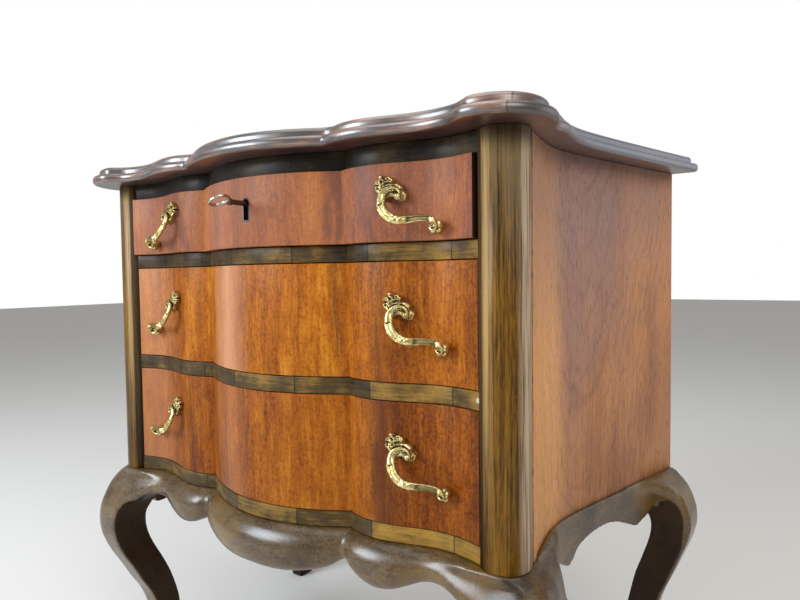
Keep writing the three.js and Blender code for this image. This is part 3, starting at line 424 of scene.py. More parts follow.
def makeRailStain():
    v = railValues
    material, g, at = newFinish("railStain")
    x, y, z = at
    piece = x / v["segment"] + v["start"]
    cell, inCell = g.math("FLOOR", piece), g.math("FRACT", piece)
    shade = g.add("ShaderNodeTexWhiteNoise", {"W": cell}, noise_dimensions="1D")
    streaks = g.noise(at, *v["streakNoise"], (cell * v["pieceShift"], 0, 0))
    cloud = g.noise(at, *v["cloudNoise"])
    # Painted shade: the top rail, under the top board, is made darker.
    tone = g.weigh((streaks, cloud, shade), v["toneShares"]) - g.step(z, *v["topRailShadeStep"])
    tone = tone + g.step(z, *v["lowRailStep"]) + g.step(z, *v["bottomRailStep"])
    colour = g.ramp(tone, v)
    seam = g.step(abs(inCell - 0.5), *v["seamStep"])
    colour = g.blend(seam * v["seamShare"], colour, v["seam"])
    chipX, chipZ, chipSize = v["chip"]
    away = g.reach(x - chipX, z - chipZ) + (streaks - 0.5) * v["chipEdge"]
    colour = g.blend(g.step(away, chipSize, chipSize * 0.7, 0.8), colour, v["chipColour"])
    return closeFinish(material, g, v, colour, cloud, streaks - seam)


baseValues = {
    "black": ink(20, 13, 5), "base": ink(62, 44, 19), "taupe": ink(104, 82, 50), "red": ink(78, 43, 21),
    "gold": ink(112, 83, 30), "insideStainAndShade": ink(30, 17, 7), "middleY": 0.03, "darkSpot": (0.377, 0.3025, 0.0048),
    "cloudNoise": ((16, 16, 16), 5, 0.6), "wipeNoise": ((9, 9, 9), 3, 0.55, (5, 0, 0)),
    "grainNoise": ((90, 240, 300), 4, 0.65), "speckleNoise": ((480, 480, 480), 3, 0.7),
    "redStep": (0.55, 0.68, 0.5), "goldStep": (0.47, 0.33, 0.55), "insideStainAndShadeStep": (-0.08, -0.2),
    "insideStainAndShadeTopStep": (0.334, 0.324), "seamStep": (0.0011, 0.0004, 0.4), "seamFootStep": (0.27, 0.28),
    "roughness": 0.4, "uneven": 0.25, "bump": (0.14, 0.0005), "coat": 0.95, "toneShares": (0.45, 0.2, 0.35),
    "ramp": [(0.36, "black"), (0.47, "base"), (0.6, "taupe")], "insideStainAndShadeShare": 0.85, "insideRougher": 0.15,
    "insideDuller": 0.9, "darkSpotFrom": 0.19, "seamEnd": -0.1, "seamSway": 0.003,
    "varnish": {"Specular IOR Level": 0.1, "Coat Roughness": 0.27},
}


def makeBaseStain():
    v = baseValues
    material, g, at = newFinish("baseStain")
    x, y, z = at
    cloud, wipe, grain, speckle = g.noises(at, v, "cloudNoise", "wipeNoise", "grainNoise", "speckleNoise")
    colour = g.ramp(g.weigh((cloud, grain, speckle), v["toneShares"]), v)
    colour = g.blend(g.step(wipe, *v["redStep"]), colour, v["red"])
    colour = g.blend(g.step(wipe, *v["goldStep"]), colour, v["gold"])
    facing = g.normal()
    behind = y - v["middleY"]
    outwards = (facing[0] * x + facing[1] * behind) / g.reach(x, behind)
    # Faces that turn in under the chest, below the apron's top, go near black: a dark stain and painted shade together;
    # they are also rougher and less glossy.
    insideStainAndShade = g.step(outwards, *v["insideStainAndShadeStep"]) * g.step(z, *v["insideStainAndShadeTopStep"])
    colour = g.blend(insideStainAndShade * v["insideStainAndShadeShare"], colour, v["insideStainAndShade"])
    # A dark spot at the back of the right side apron.
    spotX, spotZ, spotSize = v["darkSpot"]
    darkSpot = g.step(g.reach(x - spotX, z - spotZ), spotSize, spotSize * 0.7, 0.95) * (y > v["darkSpotFrom"])
    colour = g.blend(darkSpot, colour, v["black"])
    seamAt = (planValues["openingHalf"] + 1) * millimetre
    seam = g.step(abs(abs(x) - seamAt + (cloud - 0.5) * v["seamSway"]), *v["seamStep"])
    colour = g.blend(seam * g.step(z, *v["seamFootStep"]) * (y < v["seamEnd"]), colour, v["black"])
    return closeFinish(material, g, v, colour, cloud, speckle + grain, insideStainAndShade * v["insideRougher"],
                       Coat_Weight=v["coat"] * (1 - insideStainAndShade * v["insideDuller"]))


topValues = {
    "edge": ink(50, 35, 31), "rub": ink(136, 92, 68), "gold": ink(164, 134, 96), "field": ink(132, 82, 54),
    "fieldDark": ink(84, 48, 32), "under": ink(70, 38, 34), "underDark": ink(38, 21, 19),
    "seams": [0.1176, 0.3284], "seam": ink(12, 8, 6), "bluishReflection": ink(70, 76, 98),
    "lineNoise": ((13, 13, 520), 5, 0.66), "cloudNoise": ((15, 15, 60), 4, 0.6),
    "bandNoise": ((1.6, 24, 1), 4, 0.6), "fineNoise": ((12, 420, 40), 4, 0.66),
    "rubStep": (0.46, 0.58, 0.8), "goldStep": (0.58, 0.7, 0.7), "goldPatchStep": (0.46, 0.6),
    "fieldStep": (0.38, 0.62), "underStep": (0.4, 0.62), "frontStep": (-0.1, -0.11), "bluishReflectionStep": (-0.14, -0.07),
    "seamStep": (0.001, 0.0003), "belowStep": (-0.9, -0.98), "aboveStep": (0.94, 0.99),
    "roughness": 0.26, "uneven": 0.35, "bump": (0.16, 0.0006), "coat": 1,
    "rubShares": (0.6, 0.4), "fieldShares": (0.6, 0.4), "underShares": (0.5, 0.5), "seamSway": 0.001,
    "seamShare": 0.8, "beyondEdge": 0.0004, "beyondShare": 0.45, "bluishReflectionShare": 0.8, "bluishReflectionGrain": 0.3,
    "seamDuller": 0.6, "beyondDuller": 0.25,
    "varnish": {"Coat IOR": 1.8, "Coat Roughness": 0.38},
}


def makeTopStain():
    v = topValues
    material, g, at = newFinish("topStain")
    x, y, z = at
    lines, cloud, bands, fine = g.noises(at, v, "lineNoise", "cloudNoise", "bandNoise", "fineNoise")
    facing = g.normal()[2]
    edge = g.blend(g.step(g.weigh((cloud, lines), v["rubShares"]), *v["rubStep"]), v["edge"], v["rub"])
    edge = g.blend(g.step(lines, *v["goldStep"]) * g.step(cloud, *v["goldPatchStep"]), edge, v["gold"])
    field = g.step(g.weigh((bands, fine), v["fieldShares"]), *v["fieldStep"])
    field = g.blend(field, v["fieldDark"], v["field"])
    under = g.step(g.weigh((fine, cloud), v["underShares"]), *v["underStep"])
    under = g.blend(under, v["under"], v["underDark"])
    front = g.step(y, *v["frontStep"])
    below = g.step(facing, *v["belowStep"])
    joints = 0
    for place in v["seams"]:
        joints = joints + g.step(abs(abs(x) - place + (lines - 0.5) * v["seamSway"]), *v["seamStep"]) * front
    joints = joints * (1 - below)
    edge = g.blend(joints * v["seamShare"], edge, v["seam"])
    outer = v["seams"][1]
    beyond = g.step(abs(x), outer - v["beyondEdge"], outer + v["beyondEdge"]) * front
    edge = g.blend(beyond * v["beyondShare"], edge, v["edge"])
    # Painted reflection: a blue-grey cast on the moulding from the front corners back along the sides, broken by the
    # grain lines.
    edge = g.blend(g.step(y, *v["bluishReflectionStep"]) * (v["bluishReflectionShare"] - lines * v["bluishReflectionGrain"]), edge, v["bluishReflection"])
    colour = g.blend(below, g.blend(g.step(facing, *v["aboveStep"]), edge, field), under)
    coat = v["coat"] * (1 - joints * v["seamDuller"]) - beyond * (1 - below) * v["beyondDuller"]
    return closeFinish(material, g, v, colour, lines, lines, Coat_Weight=coat)


brassValues = {
    "patina": ink(34, 23, 10), "brass": ink(184, 162, 100), "bright": ink(240, 226, 176),
    "cloudNoise": ((260, 260, 260), 4, 0.6), "fineNoise": ((1500, 1500, 1500), 2, 0.6),
    "dirtStep": (0.38, 0.7), "brightStep": (0.42, 0.68), "roughness": 0.3, "uneven": 0.12, "bump": (0.22, 0.0003),
    "dirtUneven": 0.3, "dirtShare": 0.88, "dirtRougher": 0.35, "dirtDuller": 0.35,
}


def makeBrass():
    v = brassValues
    material, g, at = newFinish("oldBrass")
    hollow = g.add("ShaderNodeAttribute", output="Fac", attribute_name="hollow")
    cloud, fine = g.noises(at, v, "cloudNoise", "fineNoise")
    dirt = g.step(hollow + (cloud - 0.5) * v["dirtUneven"], *v["dirtStep"])
    colour = g.blend(g.step(cloud, *v["brightStep"]), v["brass"], v["bright"])
    colour = g.blend(dirt * v["dirtShare"], colour, v["patina"])
    return closeFinish(material, g, v, colour, fine, fine + cloud, dirt * v["dirtRougher"],
                       Metallic=1 - dirt * v["dirtDuller"])


metalValues = {
    "cloudNoise": ((180, 180, 180), 4, 0.6), "lineNoise": ((900, 120, 900), 3, 0.6), "wearAndSheenStep": (0.5, 0.7),
    "uneven": 0.15, "bump": (0.1, 0.0002), "wornRougher": 0.3, "wornDuller": 0.5,
}


def makeMetal(name, colour, wearAndSheen, roughness, wornShare):
    v = {**metalValues, "roughness": roughness}
    material, g, at = newFinish(name)
    cloud, lines = g.noises(at, v, "cloudNoise", "lineNoise")
    share = g.step(cloud, *v["wearAndSheenStep"], wornShare)
    return closeFinish(material, g, v, g.blend(share, colour, wearAndSheen), lines, lines, share * v["wornRougher"],
                       Metallic=1 - share * v["wornDuller"])


innerValues = {
    "light": ink(196, 160, 112), "dark": ink(150, 112, 70), "end": ink(120, 86, 52),
    "ringScales": (4, 70), "fibreScales": (30, 900),  # along the grain and across it
    "ramp": [(0.36, "end"), (0.46, "dark"), (0.6, "light")], "toneShares": (0.75, 0.25),
    "roughness": 0.62, "uneven": 0.2, "bump": (0.2, 0.0004),
}


def makeInnerWood(name, along):  # along: 0, 1 or 2 for grain that runs along X, Y or Z
    v = innerValues
    material, g, at = newFinish(name)
    slow, quick = [[v[scales][0 if i == along else 1] for i in range(3)] for scales in ("ringScales", "fibreScales")]
    rings = g.noise(at, slow, 5, 0.6, distortion=0.4)
    fibre = g.noise(at, quick, 3, 0.6)
    colour = g.ramp(g.weigh((rings, fibre), v["toneShares"]), v)
    return closeFinish(material, g, v, colour, fibre, fibre + rings)


finishes = {
    "veneer": makeVeneer(), "side": makeSideVeneer(), "column": makeColumnStain(), "rail": makeRailStain(),
    "base": makeBaseStain(), "top": makeTopStain(), "brass": makeBrass(),
    "steel": makeMetal("lockSteel", ink(74, 76, 80), ink(34, 30, 28), 0.34, 0.7),
    "nickel": makeMetal("keyNickel", ink(190, 184, 176), ink(120, 92, 70), 0.2, 0.5),
    "shank": makeMetal("keyShank", ink(112, 84, 74), ink(60, 36, 28), 0.38, 0.8),
    "alongX": makeInnerWood("innerWoodAcross", 0), "alongY": makeInnerWood("innerWoodDeep", 1),
    "alongZ": makeInnerWood("innerWoodUpright", 2),
}
print("finishes made")


# Meshes.


def addObject(name, data):
    thing = bpy.data.objects.new(name, data)
    bpy.context.scene.collection.objects.link(thing)
    return thing


def applied(carrier, *others):  # the mesh that an object's modifiers give; the objects are removed
    depsgraph = bpy.context.evaluated_depsgraph_get()
    mesh = bpy.data.meshes.new_from_object(carrier.evaluated_get(depsgraph))
    carrier.modifiers.clear()
    for thing in (carrier, *others):
        bpy.data.objects.remove(thing)
    return mesh


def addPiece(name, points, faces, finish, body, nodes, slot, sharpAngle=35, mirrored=False):
    mesh = plainMesh(name, points, faces, mirrored)
    return settle(name, mesh, finish, body, nodes, sharpAngle)


def plainMesh(name, points, faces, mirrored=False):
    points = np.array(points, dtype=float)
    if mirrored:
        points = points * np.array([-1, 1, 1])
    return rawMesh(name, toFrame(points), faces)


def rawMesh(name, points, faces):
    mesh = bpy.data.meshes.new(name)
    mesh.from_pydata([tuple(point) for point in points], [], faces)
    turnOutwards(mesh)
    return mesh


def turnOutwards(mesh):
    work = bmesh.new()
    work.from_mesh(mesh)
    bmesh.ops.remove_doubles(work, verts=work.verts, dist=1e-6)
    bmesh.ops.recalc_face_normals(work, faces=work.faces)
    work.to_mesh(mesh)
    work.free()


def merged(name, meshes):
    work = bmesh.new()
    for mesh in meshes:
        work.from_mesh(mesh)
        bpy.data.meshes.remove(mesh)
    whole = bpy.data.meshes.new(name)
    work.to_mesh(whole)
    work.free()
    return whole


def settle(name, mesh, finish, body, nodes, sharpAngle=35):
    mesh.validate()
    mesh.shade_smooth()
    mesh.set_sharp_from_angle(angle=math.radians(sharpAngle))
    mesh.materials.clear()
    mesh.materials.append(finishes[finish])
    piece = addObject(name, mesh)
    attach(piece, body)
    if nodes:
        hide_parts(*nodes)
    return piece


def addBevel(piece, width):
    bevel = piece.modifiers.new("arris", "BEVEL")
    bevel.width = width
    bevel.segments = 2


def skin(rings):  # faces over rings of equally many points, with both ends closed
    count = len(rings[0])
    faces = joinRings(len(rings) - 1, len(rings), count)
    last = (len(rings) - 1) * count
    faces.append(tuple(range(count)))
    faces.append(tuple(range(last, last + count)))
    return np.concatenate([np.asarray(ring, dtype=float) for ring in rings]), faces


def hoop(rings):  # the same, with the last ring joined to the first
    return np.concatenate(rings), joinRings(len(rings), len(rings), len(rings[0]))


def joinRings(bandCount, ringCount, count):
    faces = []
    for r in range(bandCount):
        here, there = r * count, (r + 1) % ringCount * count
        for i in range(count):
            n = (i + 1) % count
            faces.append((here + i, here + n, there + n, there + i))
    return faces


def together(parts):  # several bodies in one list of points and one of faces
    allPoints, allFaces, start = [], [], 0
    for points, faces in parts:
        allPoints.append(points)
        allFaces += [tuple(i + start for i in face) for face in faces]
        start += len(points)
    return np.concatenate(allPoints), allFaces


def upright(outline, base, top, arris):  # a prism with softened ends
    rings = []
    for z, inset in ((base, arris), (base + arris, 0), (top - arris, 0), (top, arris)):
        rings.append([(x, y, z) for x, y in insetOutline(outline, inset)])
    return skin(rings)


def insetOutline(outline, distance):  # moved inwards by a distance; points run anticlockwise
    points = np.array(outline, dtype=float)
    if distance == 0:
        return points
    before = points - np.roll(points, 1, axis=0)
    after = np.roll(points, -1, axis=0) - points
    before /= np.linalg.norm(before, axis=1)[:, None] + 1e-12
    after /= np.linalg.norm(after, axis=1)[:, None] + 1e-12
    along = before + after
    along /= np.linalg.norm(along, axis=1)[:, None] + 1e-12
    spread = np.maximum(np.sum(along * after, axis=1), 0.45)  # no long spikes at sharp corners
    normal = np.stack([-along[:, 1], along[:, 0]], axis=1)
    return points + normal * (distance / spread)[:, None]


topShape = {
    "base": 758.8, "frontOverhang": 37, "sideOverhang": 31, "cornerInset": 4, "cornerAdvance": 6,
    "cornerRadius": 58.5, "joinX": 264, "backY": 442,
    "profile": [  # rise above the underside, inset from the outermost line
        (0, 4.2), (0.7, 2.3), (2.2, 0.8), (4.2, 0.1), (6.4, 0), (8.6, 0.5), (10.6, 1.9), (11.7, 3.7), (12, 5.4),
        (11.8, 7.2), (12.1, 8.4), (13.1, 9), (14.6, 9.1), (16.4, 9), (18.2, 9.4), (19.9, 10.4), (21.3, 12),
        (22.2, 14), (22.5, 16.2)],
    "spacing": 2.4, "softening": 5, "hollow": 30, "hollowPull": 13.5,
    "frontStep": 2.5, "cornerSteps": 46, "sideSteps": 90,
}


def bridge(before, start, end, after, pull, steps=14):  # a curve that leaves and arrives along its neighbours
    before, start, end, after = (np.array(p, dtype=float) for p in (before, start, end, after))
    leave = start + (start - before) / np.linalg.norm(start - before) * pull
    arrive = end - (after - end) / np.linalg.norm(after - end) * pull
    made = []
    for t in np.linspace(0, 1, steps)[1:-1]:
        u = 1 - t
        made.append(tuple(u ** 3 * start + 3 * u * u * t * leave + 3 * u * t * t * arrive + t ** 3 * end))
    return made


def topOutline():
    t, p = topShape, planValues
    cornerX, cornerY = p["columnAxis"] - t["cornerInset"], p["columnAxisDepth"] - t["cornerAdvance"]
    joinY = p["postDepth"] - t["cornerAdvance"]
    front = [(x, frontDepth(x) - t["frontOverhang"]) for x in frontStations(t["joinX"], t["frontStep"]) if x >= 0]
    start = math.acos((p["openingHalf"] - cornerX) / t["cornerRadius"])
    end = math.asin((joinY - cornerY) / t["cornerRadius"])
    corner = arcPoints(cornerX, cornerY, t["cornerRadius"], np.linspace(-start, end, t["cornerSteps"])[1:-1])
    depths = np.linspace(joinY + t["hollow"], t["backY"], t["sideSteps"])
    side = [(sideHalf(y) + t["sideOverhang"], y) for y in depths]
    hollow = bridge(corner[-2], corner[-1], side[0], side[1], t["hollowPull"])
    right = softened(evenly(front + corner + hollow + side, t["spacing"]), t["softening"])
    left = [(-x, y) for x, y in reversed(right) if x > 0.5]
    return left + right


def evenly(line, spacing):
    points = np.array(line, dtype=float)
    run = np.concatenate([[0], np.cumsum(np.linalg.norm(np.diff(points, axis=0), axis=1))])
    places = np.linspace(0, run[-1], round(run[-1] / spacing))
    return np.stack([np.interp(places, run, points[:, i]) for i in range(2)], axis=1)


def softened(points, rounds):  # takes the kinks out of a line, ends kept
    for _ in range(rounds):
        points[1:-1] = (points[:-2] + 2 * points[1:-1] + points[2:]) / 4
    return [tuple(p) for p in points]


def makeTop():
    t = topShape
    outline = topOutline()
    rings = []
    for rise, inset in t["profile"]:
        ring = insetOutline(outline, inset)
        ring[:, 1] = np.minimum(ring[:, 1], t["backY"])
        ring[0, 1] = ring[-1, 1] = t["backY"]
        ring[0, 0], ring[-1, 0] = -outline[-1][0] + inset, outline[-1][0] - inset
        rings.append([(x, y, t["base"] + rise) for x, y in ring])
    points, faces = skin(rings)
    addPiece("topBoard", points, faces, "top", "carcass", ["top"], "top_stain", 40)


makeTop()
print("top made")


caseShape = {"columnSteps": 64, "panelSteps": 120, "columnArris": 0.7, "panelArris": 0.6}


def columnOutline():
    p = planValues
    x0, y0, r = p["columnAxis"], p["columnAxisDepth"], p["columnRadius"]
    panelFront = y0 + math.sqrt(r ** 2 - (sideHalf(p["postDepth"]) - x0) ** 2)
    start = math.pi + math.acos((x0 - p["openingHalf"]) / r)
    end = math.asin((panelFront - y0) / r) + 2 * math.pi
    front = arcPoints(x0, y0, r, np.linspace(start, end, caseShape["columnSteps"]))
    rebate = [(sideHalf(y) - p["panelThickness"] - p["gap"], y) for y in (panelFront, p["postDepth"])]
    return front + rebate + [(p["openingHalf"], p["postDepth"])], panelFront


def makeColumns():
    p, v = planValues, caseShape
    column, panelFront = columnOutline()
    outer = [(sideHalf(y), y) for y in np.linspace(panelFront + p["gap"], p["bodyDepth"], v["panelSteps"])]
    panel = outer + [(x - p["panelThickness"], y) for x, y in reversed(outer)]
    for name, node, outline, arris, finish, slot in (
            ("column", "front_column_", column, v["columnArris"], "column", "dark_stain"),
            ("sidePanel", "side_panel_", panel, v["panelArris"], "side", "side_veneer")):
        points, faces = upright(outline, p["caseBase"], p["caseTop"], arris)
        for side in ("right", "left"):
            addPiece(name + side.title(), points, faces, finish, "carcass", [node + side], slot, 50, side == "left")


makeColumns()
print("columns and side panels made")


# Serpentine boards: rails and drawer fronts share one tree.


boardInputs = {
    "Half Width": planValues["openingHalf"], "Front Depth": 0, "Thickness": 20, "Base": 0, "Height": 20,
    "Arris": 0.8, "Back Edge": 0, "Lobe Half": planValues["lobeHalf"], "Crease Depth": planValues["creaseDepth"],
    "Crease Run": planValues["creaseRun"], "Crest At": planValues["crestAt"],
    "Crest Depth": planValues["crestDepth"], "Trough At": planValues["troughAt"],
    "Trough Depth": planValues["troughDepth"], "Shift": frameShift,
}


def newTree(name, inputs):  # inputs: name, kind and starting value of each socket
    tree = bpy.data.node_groups.new(name, "GeometryNodeTree")
    tree.interface.new_socket("Geometry", in_out="OUTPUT", socket_type="NodeSocketGeometry")
    for socketName, kind, value in inputs:
        socket = tree.interface.new_socket(socketName, in_out="INPUT", socket_type="NodeSocket" + kind)
        if value is not None:
            socket.default_value = value
    given = tree.nodes.new("NodeGroupInput")
    g = Graph(tree)
    return g, {socketName: Wire(g, given.outputs[socketName]) for socketName, kind, value in inputs}


def closeTree(g, geometry, finish):
    geometry = g.add("GeometryNodeRealizeInstances", {"Geometry": geometry})
    geometry = g.add("GeometryNodeSetMaterial", {"Geometry": geometry, "Material": finish})
    g.close("NodeGroupOutput", "Geometry", geometry)
    return g.tree


def store(g, geometry, name, kind, value):
    return g.add("GeometryNodeStoreNamedAttribute", {"Geometry": geometry, "Name": name, "Value": value},
                 data_type=kind, domain="POINT")


boardGrid = {"count": 281, "snap": 1.02, "filletSteps": 3}  # snap: how far a point moves to a crease, in steps


def boardTree():
    v = boardGrid
    rows = [(name, "Float", value) for name, value in boardInputs.items()]
    g, value = newTree("serpentineBoard", [*rows, ("Finish", "Material", None)])
    half, lobe, thickness = value["Half Width"], value["Lobe Half"], value["Thickness"]
    line = g.add("GeometryNodeMeshLine", {
        "Count": v["count"], "Start Location": g.join(-1 * half, 0, 0), "Offset": g.join(half, 0, 0)},
        mode="END_POINTS")
    place = g.split(g.add("GeometryNodeInputPosition"))[0]
    near = abs(abs(place) - lobe) < half * (v["snap"] / (v["count"] - 1))
    snapped = place * (1 - near) + g.math("SIGN", place) * lobe * near
    line = g.add("GeometryNodeSetPosition", {"Geometry": line, "Position": g.join(snapped, 0, 0)})
    line = store(g, line, "along", "FLOAT", g.split(g.add("GeometryNodeInputPosition"))[0])
    path = g.add("GeometryNodeMeshToCurve", {"Mesh": line})
    section = g.add("GeometryNodeCurvePrimitiveQuadrilateral", {
        "Width": thickness, "Height": value["Height"]}, mode="RECTANGLE")
    section = g.add("GeometryNodeFilletCurve", {"Curve": section, "Radius": value["Arris"]})
    fillet = section.socket.node
    setChoice(fillet, "mode", "Mode", "POLY", "Poly")
    fillet.inputs["Count"].default_value = v["filletSteps"]
    section = store(g, section, "section", "FLOAT_VECTOR", g.add("GeometryNodeInputPosition"))
    board = g.add("GeometryNodeCurveToMesh", {"Curve": path, "Profile Curve": section, "Fill Caps": True})
    x = g.add("GeometryNodeInputNamedAttribute", {"Name": "along"}, data_type="FLOAT")
    part = g.split(g.add("GeometryNodeInputNamedAttribute", {"Name": "section"}, data_type="FLOAT_VECTOR"))
    away = abs(x)
    mean = (value["Crest Depth"] + value["Trough Depth"]) * 0.5
    swing = (value["Trough Depth"] - value["Crest Depth"]) * 0.5
    pace = math.pi / (value["Trough At"] - value["Crest At"])
    wave, waveAtLobe = [mean - swing * g.math("COSINE", (spot - value["Crest At"]) * pace) for spot in (away, lobe)]
    left = g.math("MAXIMUM", 0, 1 - (away - lobe) / value["Crease Run"])
    wing = wave + (value["Crease Depth"] - waveAtLobe) * left * left
    middle = value["Crease Depth"] * (away / lobe) * (away / lobe)
    inLobe = away < lobe + 0.001
    follow = middle * inLobe + wing * (1 - inLobe)
    straight = (value["Back Edge"] > 0.5) * (1 - (part[0] < 0))  # a rail's back edge is straight
    depth = (follow + part[0] + thickness * 0.5) * (1 - straight)
    depth = depth + (value["Back Edge"] + part[0] - thickness * 0.5) * straight
    moved = g.join(x * millimetre, (depth + value["Shift"] + value["Front Depth"]) * millimetre,
                   (value["Base"] + value["Height"] * 0.5 + part[1]) * millimetre)
    board = g.add("GeometryNodeSetPosition", {"Geometry": board, "Position": moved})
    board = g.add("GeometryNodeRemoveAttribute", {"Geometry": board, "Name": "section"})
    return closeTree(g, board, value["Finish"])


def setChoice(node, attribute, socketName, upper, title):  # a node's mode, kept as a setting or as a menu socket
    if hasattr(node, attribute):
        setattr(node, attribute, upper)
    else:
        node.inputs[socketName].default_value = title


def grow(tree, name, values, base=None):  # runs a tree and gives the plain mesh
    carrier = addObject(name + "Carrier", base or bpy.data.meshes.new(name + "Seed"))
    modifier = carrier.modifiers.new("grow", "NODES")
    modifier.node_group = tree
    for item in tree.interface.items_tree:
        if item.in_out == "INPUT" and item.name in values:
            modifier[item.identifier] = values[item.name]
    mesh = applied(carrier)
    mesh.name = name
    return mesh


serpentine = boardTree()
boards = {  # finish, half width, base, height, front, straight back edge, arris, body, CAD nodes
    "topRail": ("rail", 281.7, 737.5, 21, 0, 108, 0.7, "carcass", ["top_rail"]),
    "upperDivider": ("rail", 281.7, 636.5, 18.5, 0, 108, 0.9, "carcass", ["upper_divider"]),
    "lowerDivider": ("rail", 281.7, 488.5, 18.5, 0, 108, 0.9, "carcass", ["lower_divider"]),
    "bottomRail": ("rail", 281.7, 336.3, 17.7, 0, 108, 0.9, "carcass", ["bottom_rail"]),
    "topDrawerFront": ("veneer", 278.6, 656, 80.5, -planValues["ajar"], 0, 0.9, "top_drawer", ["top_drawer_front"]),
    "middleDrawerFront": ("veneer", 280, 508, 127.5, 0, 0, 0.9, "middle_drawer", ["middle_drawer_front"]),
    "bottomDrawerFront": ("veneer", 280, 355, 132.5, 0, 0, 0.9, "bottom_drawer", ["bottom_drawer_front"]),
}


def carve(mesh, tools):  # cuts closed tool meshes out of a mesh
    target = addObject("carveTarget", mesh)
    cutters = []
    for points, faces in tools:
        cutter = addObject("carveTool", plainMesh("carveTool", points, faces))
        modifier = target.modifiers.new("carve", "BOOLEAN")
        modifier.operation = "DIFFERENCE"
        modifier.solver = "EXACT"
        modifier.object = cutter
        cutters.append(cutter)
    return applied(target, *cutters)


def boxShape(low, high):
    (x0, y0, z0), (x1, y1, z1) = low, high
    return skin([[(x0, y0, z), (x1, y0, z), (x1, y1, z), (x0, y1, z)] for z in (z0, z1)])


lockShape = {
    "at": 4.5, "height": 706, "round": 5, "half": 3.8, "drop": 19, "wall": 1.4, "depth": 5,
    "play": 0.2, "hole": (-20, 30),  # play round the liner, and the depths that the keyhole is cut through
    "pocket": ((-23.8, 3.5, 685.7), (32.8, 40, 745)), "mortise": ((-8.7, 6.4, 730), (17.7, 23.2, 744.5)),
}


def keyholeOutline(wider):
    k = lockShape
    radius, half = k["round"] + wider, k["half"] + wider
    meet = math.asin(half / radius)
    line = arcPoints(k["at"], k["height"], radius, np.linspace(-math.pi / 2 + meet, 1.5 * math.pi - meet, 40))
    low = k["height"] - k["drop"] - wider
    return line + [(k["at"] - half, low), (k["at"] + half, low)]


def makeBoards():
    k = lockShape
    outline = keyholeOutline(k["wall"] + k["play"])
    keyhole = skin([[(x, y, z) for x, z in outline] for y in k["hole"]])
    tools = {"topDrawerFront": [keyhole, boxShape(*k["pocket"])], "topRail": [boxShape(*k["mortise"])]}
    for name, (finish, half, base, height, front, backEdge, arris, body, nodes) in boards.items():
        mesh = grow(serpentine, name, {
            "Half Width": half, "Base": base, "Height": height, "Front Depth": front, "Back Edge": backEdge,
            "Arris": arris, "Thickness": 20, "Finish": finishes[finish]})
        if name in tools:
            mesh = carve(mesh, tools[name])
        turnOutwards(mesh)
        settle(name, mesh, finish, body, nodes, 30)


stopShape = {
    "at": 155, "width": 26, "depth": 12, "height": 6, "gap": 0.05, "behindFront": 20.3, "arris": 0.0007,
    "levels": (354, 507, 655),
}


def makeStops():
    v = stopShape
    half = v["width"] / 2
    front = max(frontDepth(v["at"] - half), frontDepth(v["at"] + half)) + v["behindFront"]
    blocks = []
    for level in v["levels"]:
        for x in (-v["at"], v["at"]):
            low, high = level + v["gap"], level + v["height"]
            blocks.append(boxShape((x - half, front, low), (x + half, front + v["depth"], high)))
    piece = addPiece("drawerStops", *together(blocks), "alongX", "carcass", [], "plain_wood")
    addBevel(piece, v["arris"])


makeBoards()
makeStops()
print("rails and drawer fronts made")


# Legs: every height has its own section, a box with a rounded outer corner.


legShape = {
    "height": 336, "reach": 73.6, "offset": 10, "foot": 31, "arris": 4, "slant": 0.32, "apronProud": 5,
    "blockFrom": 0.77, "blockRun": 0.05,  # where the leg turns into the block under the post
    "backAxis": 343.37, "backDepth": 45, "sections": 110, "moreSections": (0.004, 0.99, 0.996),
    "roundSteps": 16, "arrisSteps": 6,
    "outer": [
        (0, 0.02), (0.015, 0.04), (0.045, 0.054), (0.12, 0.02), (0.19, 0.007), (0.27, 0.04), (0.336, 0.109),
        (0.38, 0.177), (0.423, 0.272), (0.473, 0.428), (0.545, 0.625), (0.6, 0.788), (0.649, 0.9),
        (0.696, 0.973), (0.756, 1), (0.815, 0.965), (0.869, 0.87), (0.92, 0.747), (0.964, 0.571), (1, 0.365)],
    "inner": [
        (0, -0.57), (0.02, -0.59), (0.09, -0.59), (0.18, -0.6), (0.25, -0.597), (0.318, -0.577),
        (0.363, -0.543), (0.408, -0.489), (0.47, -0.394), (0.539, -0.245), (0.604, -0.082), (0.661, 0.027),
        (0.711, 0.068), (0.762, 0.054), (0.798, -0.04), (0.836, -0.19), (0.86, -0.38), (0.89, -0.54), (1, -0.64)],
    "rounding": [(0, 0.1), (0.3, 0.35), (0.6, 0.6), (0.85, 0.8), (1, 1)],
    "offsets": [(0, 1), (0.965, 1), (1, 0)],
    "backOuter": [
        (0, 0.04), (0.045, 0.058), (0.12, 0.03), (0.19, 0.042), (0.27, 0.103), (0.336, 0.2), (0.423, 0.348),
        (0.512, 0.484), (0.598, 0.66), (0.685, 0.823), (0.747, 0.932), (0.81, 1), (0.869, 0.989), (0.923, 0.915),
        (0.96, 0.825), (0.979, 0.75), (1, 0.658)],
    "backInner": [
        (0, -0.345), (0.045, -0.352), (0.12, -0.36), (0.25, -0.345), (0.33, -0.29), (0.452, -0.155),
        (0.574, -0.019), (0.664, 0.124), (0.744, 0.239), (0.796, 0.266), (0.836, 0.225), (0.86, 0.117),
        (0.89, -0.05), (0.93, -0.29), (1, -0.427)],
    "backDepths": [(0, 0.76), (0.045, 0.77), (0.15, 0.73), (0.27, 0.76), (0.5, 0.95), (0.6, 1), (1, 1)],
    "backSlant": [(0, 0), (0.45, 0.5), (0.72, 2.6), (0.84, 3.6), (0.9, 5.5), (1, 5.5)],
}


def cornerRound(share):
    v = legShape
    return v["arris"] + (planValues["columnRadius"] - v["arris"]) * readRows(v["rounding"], share)


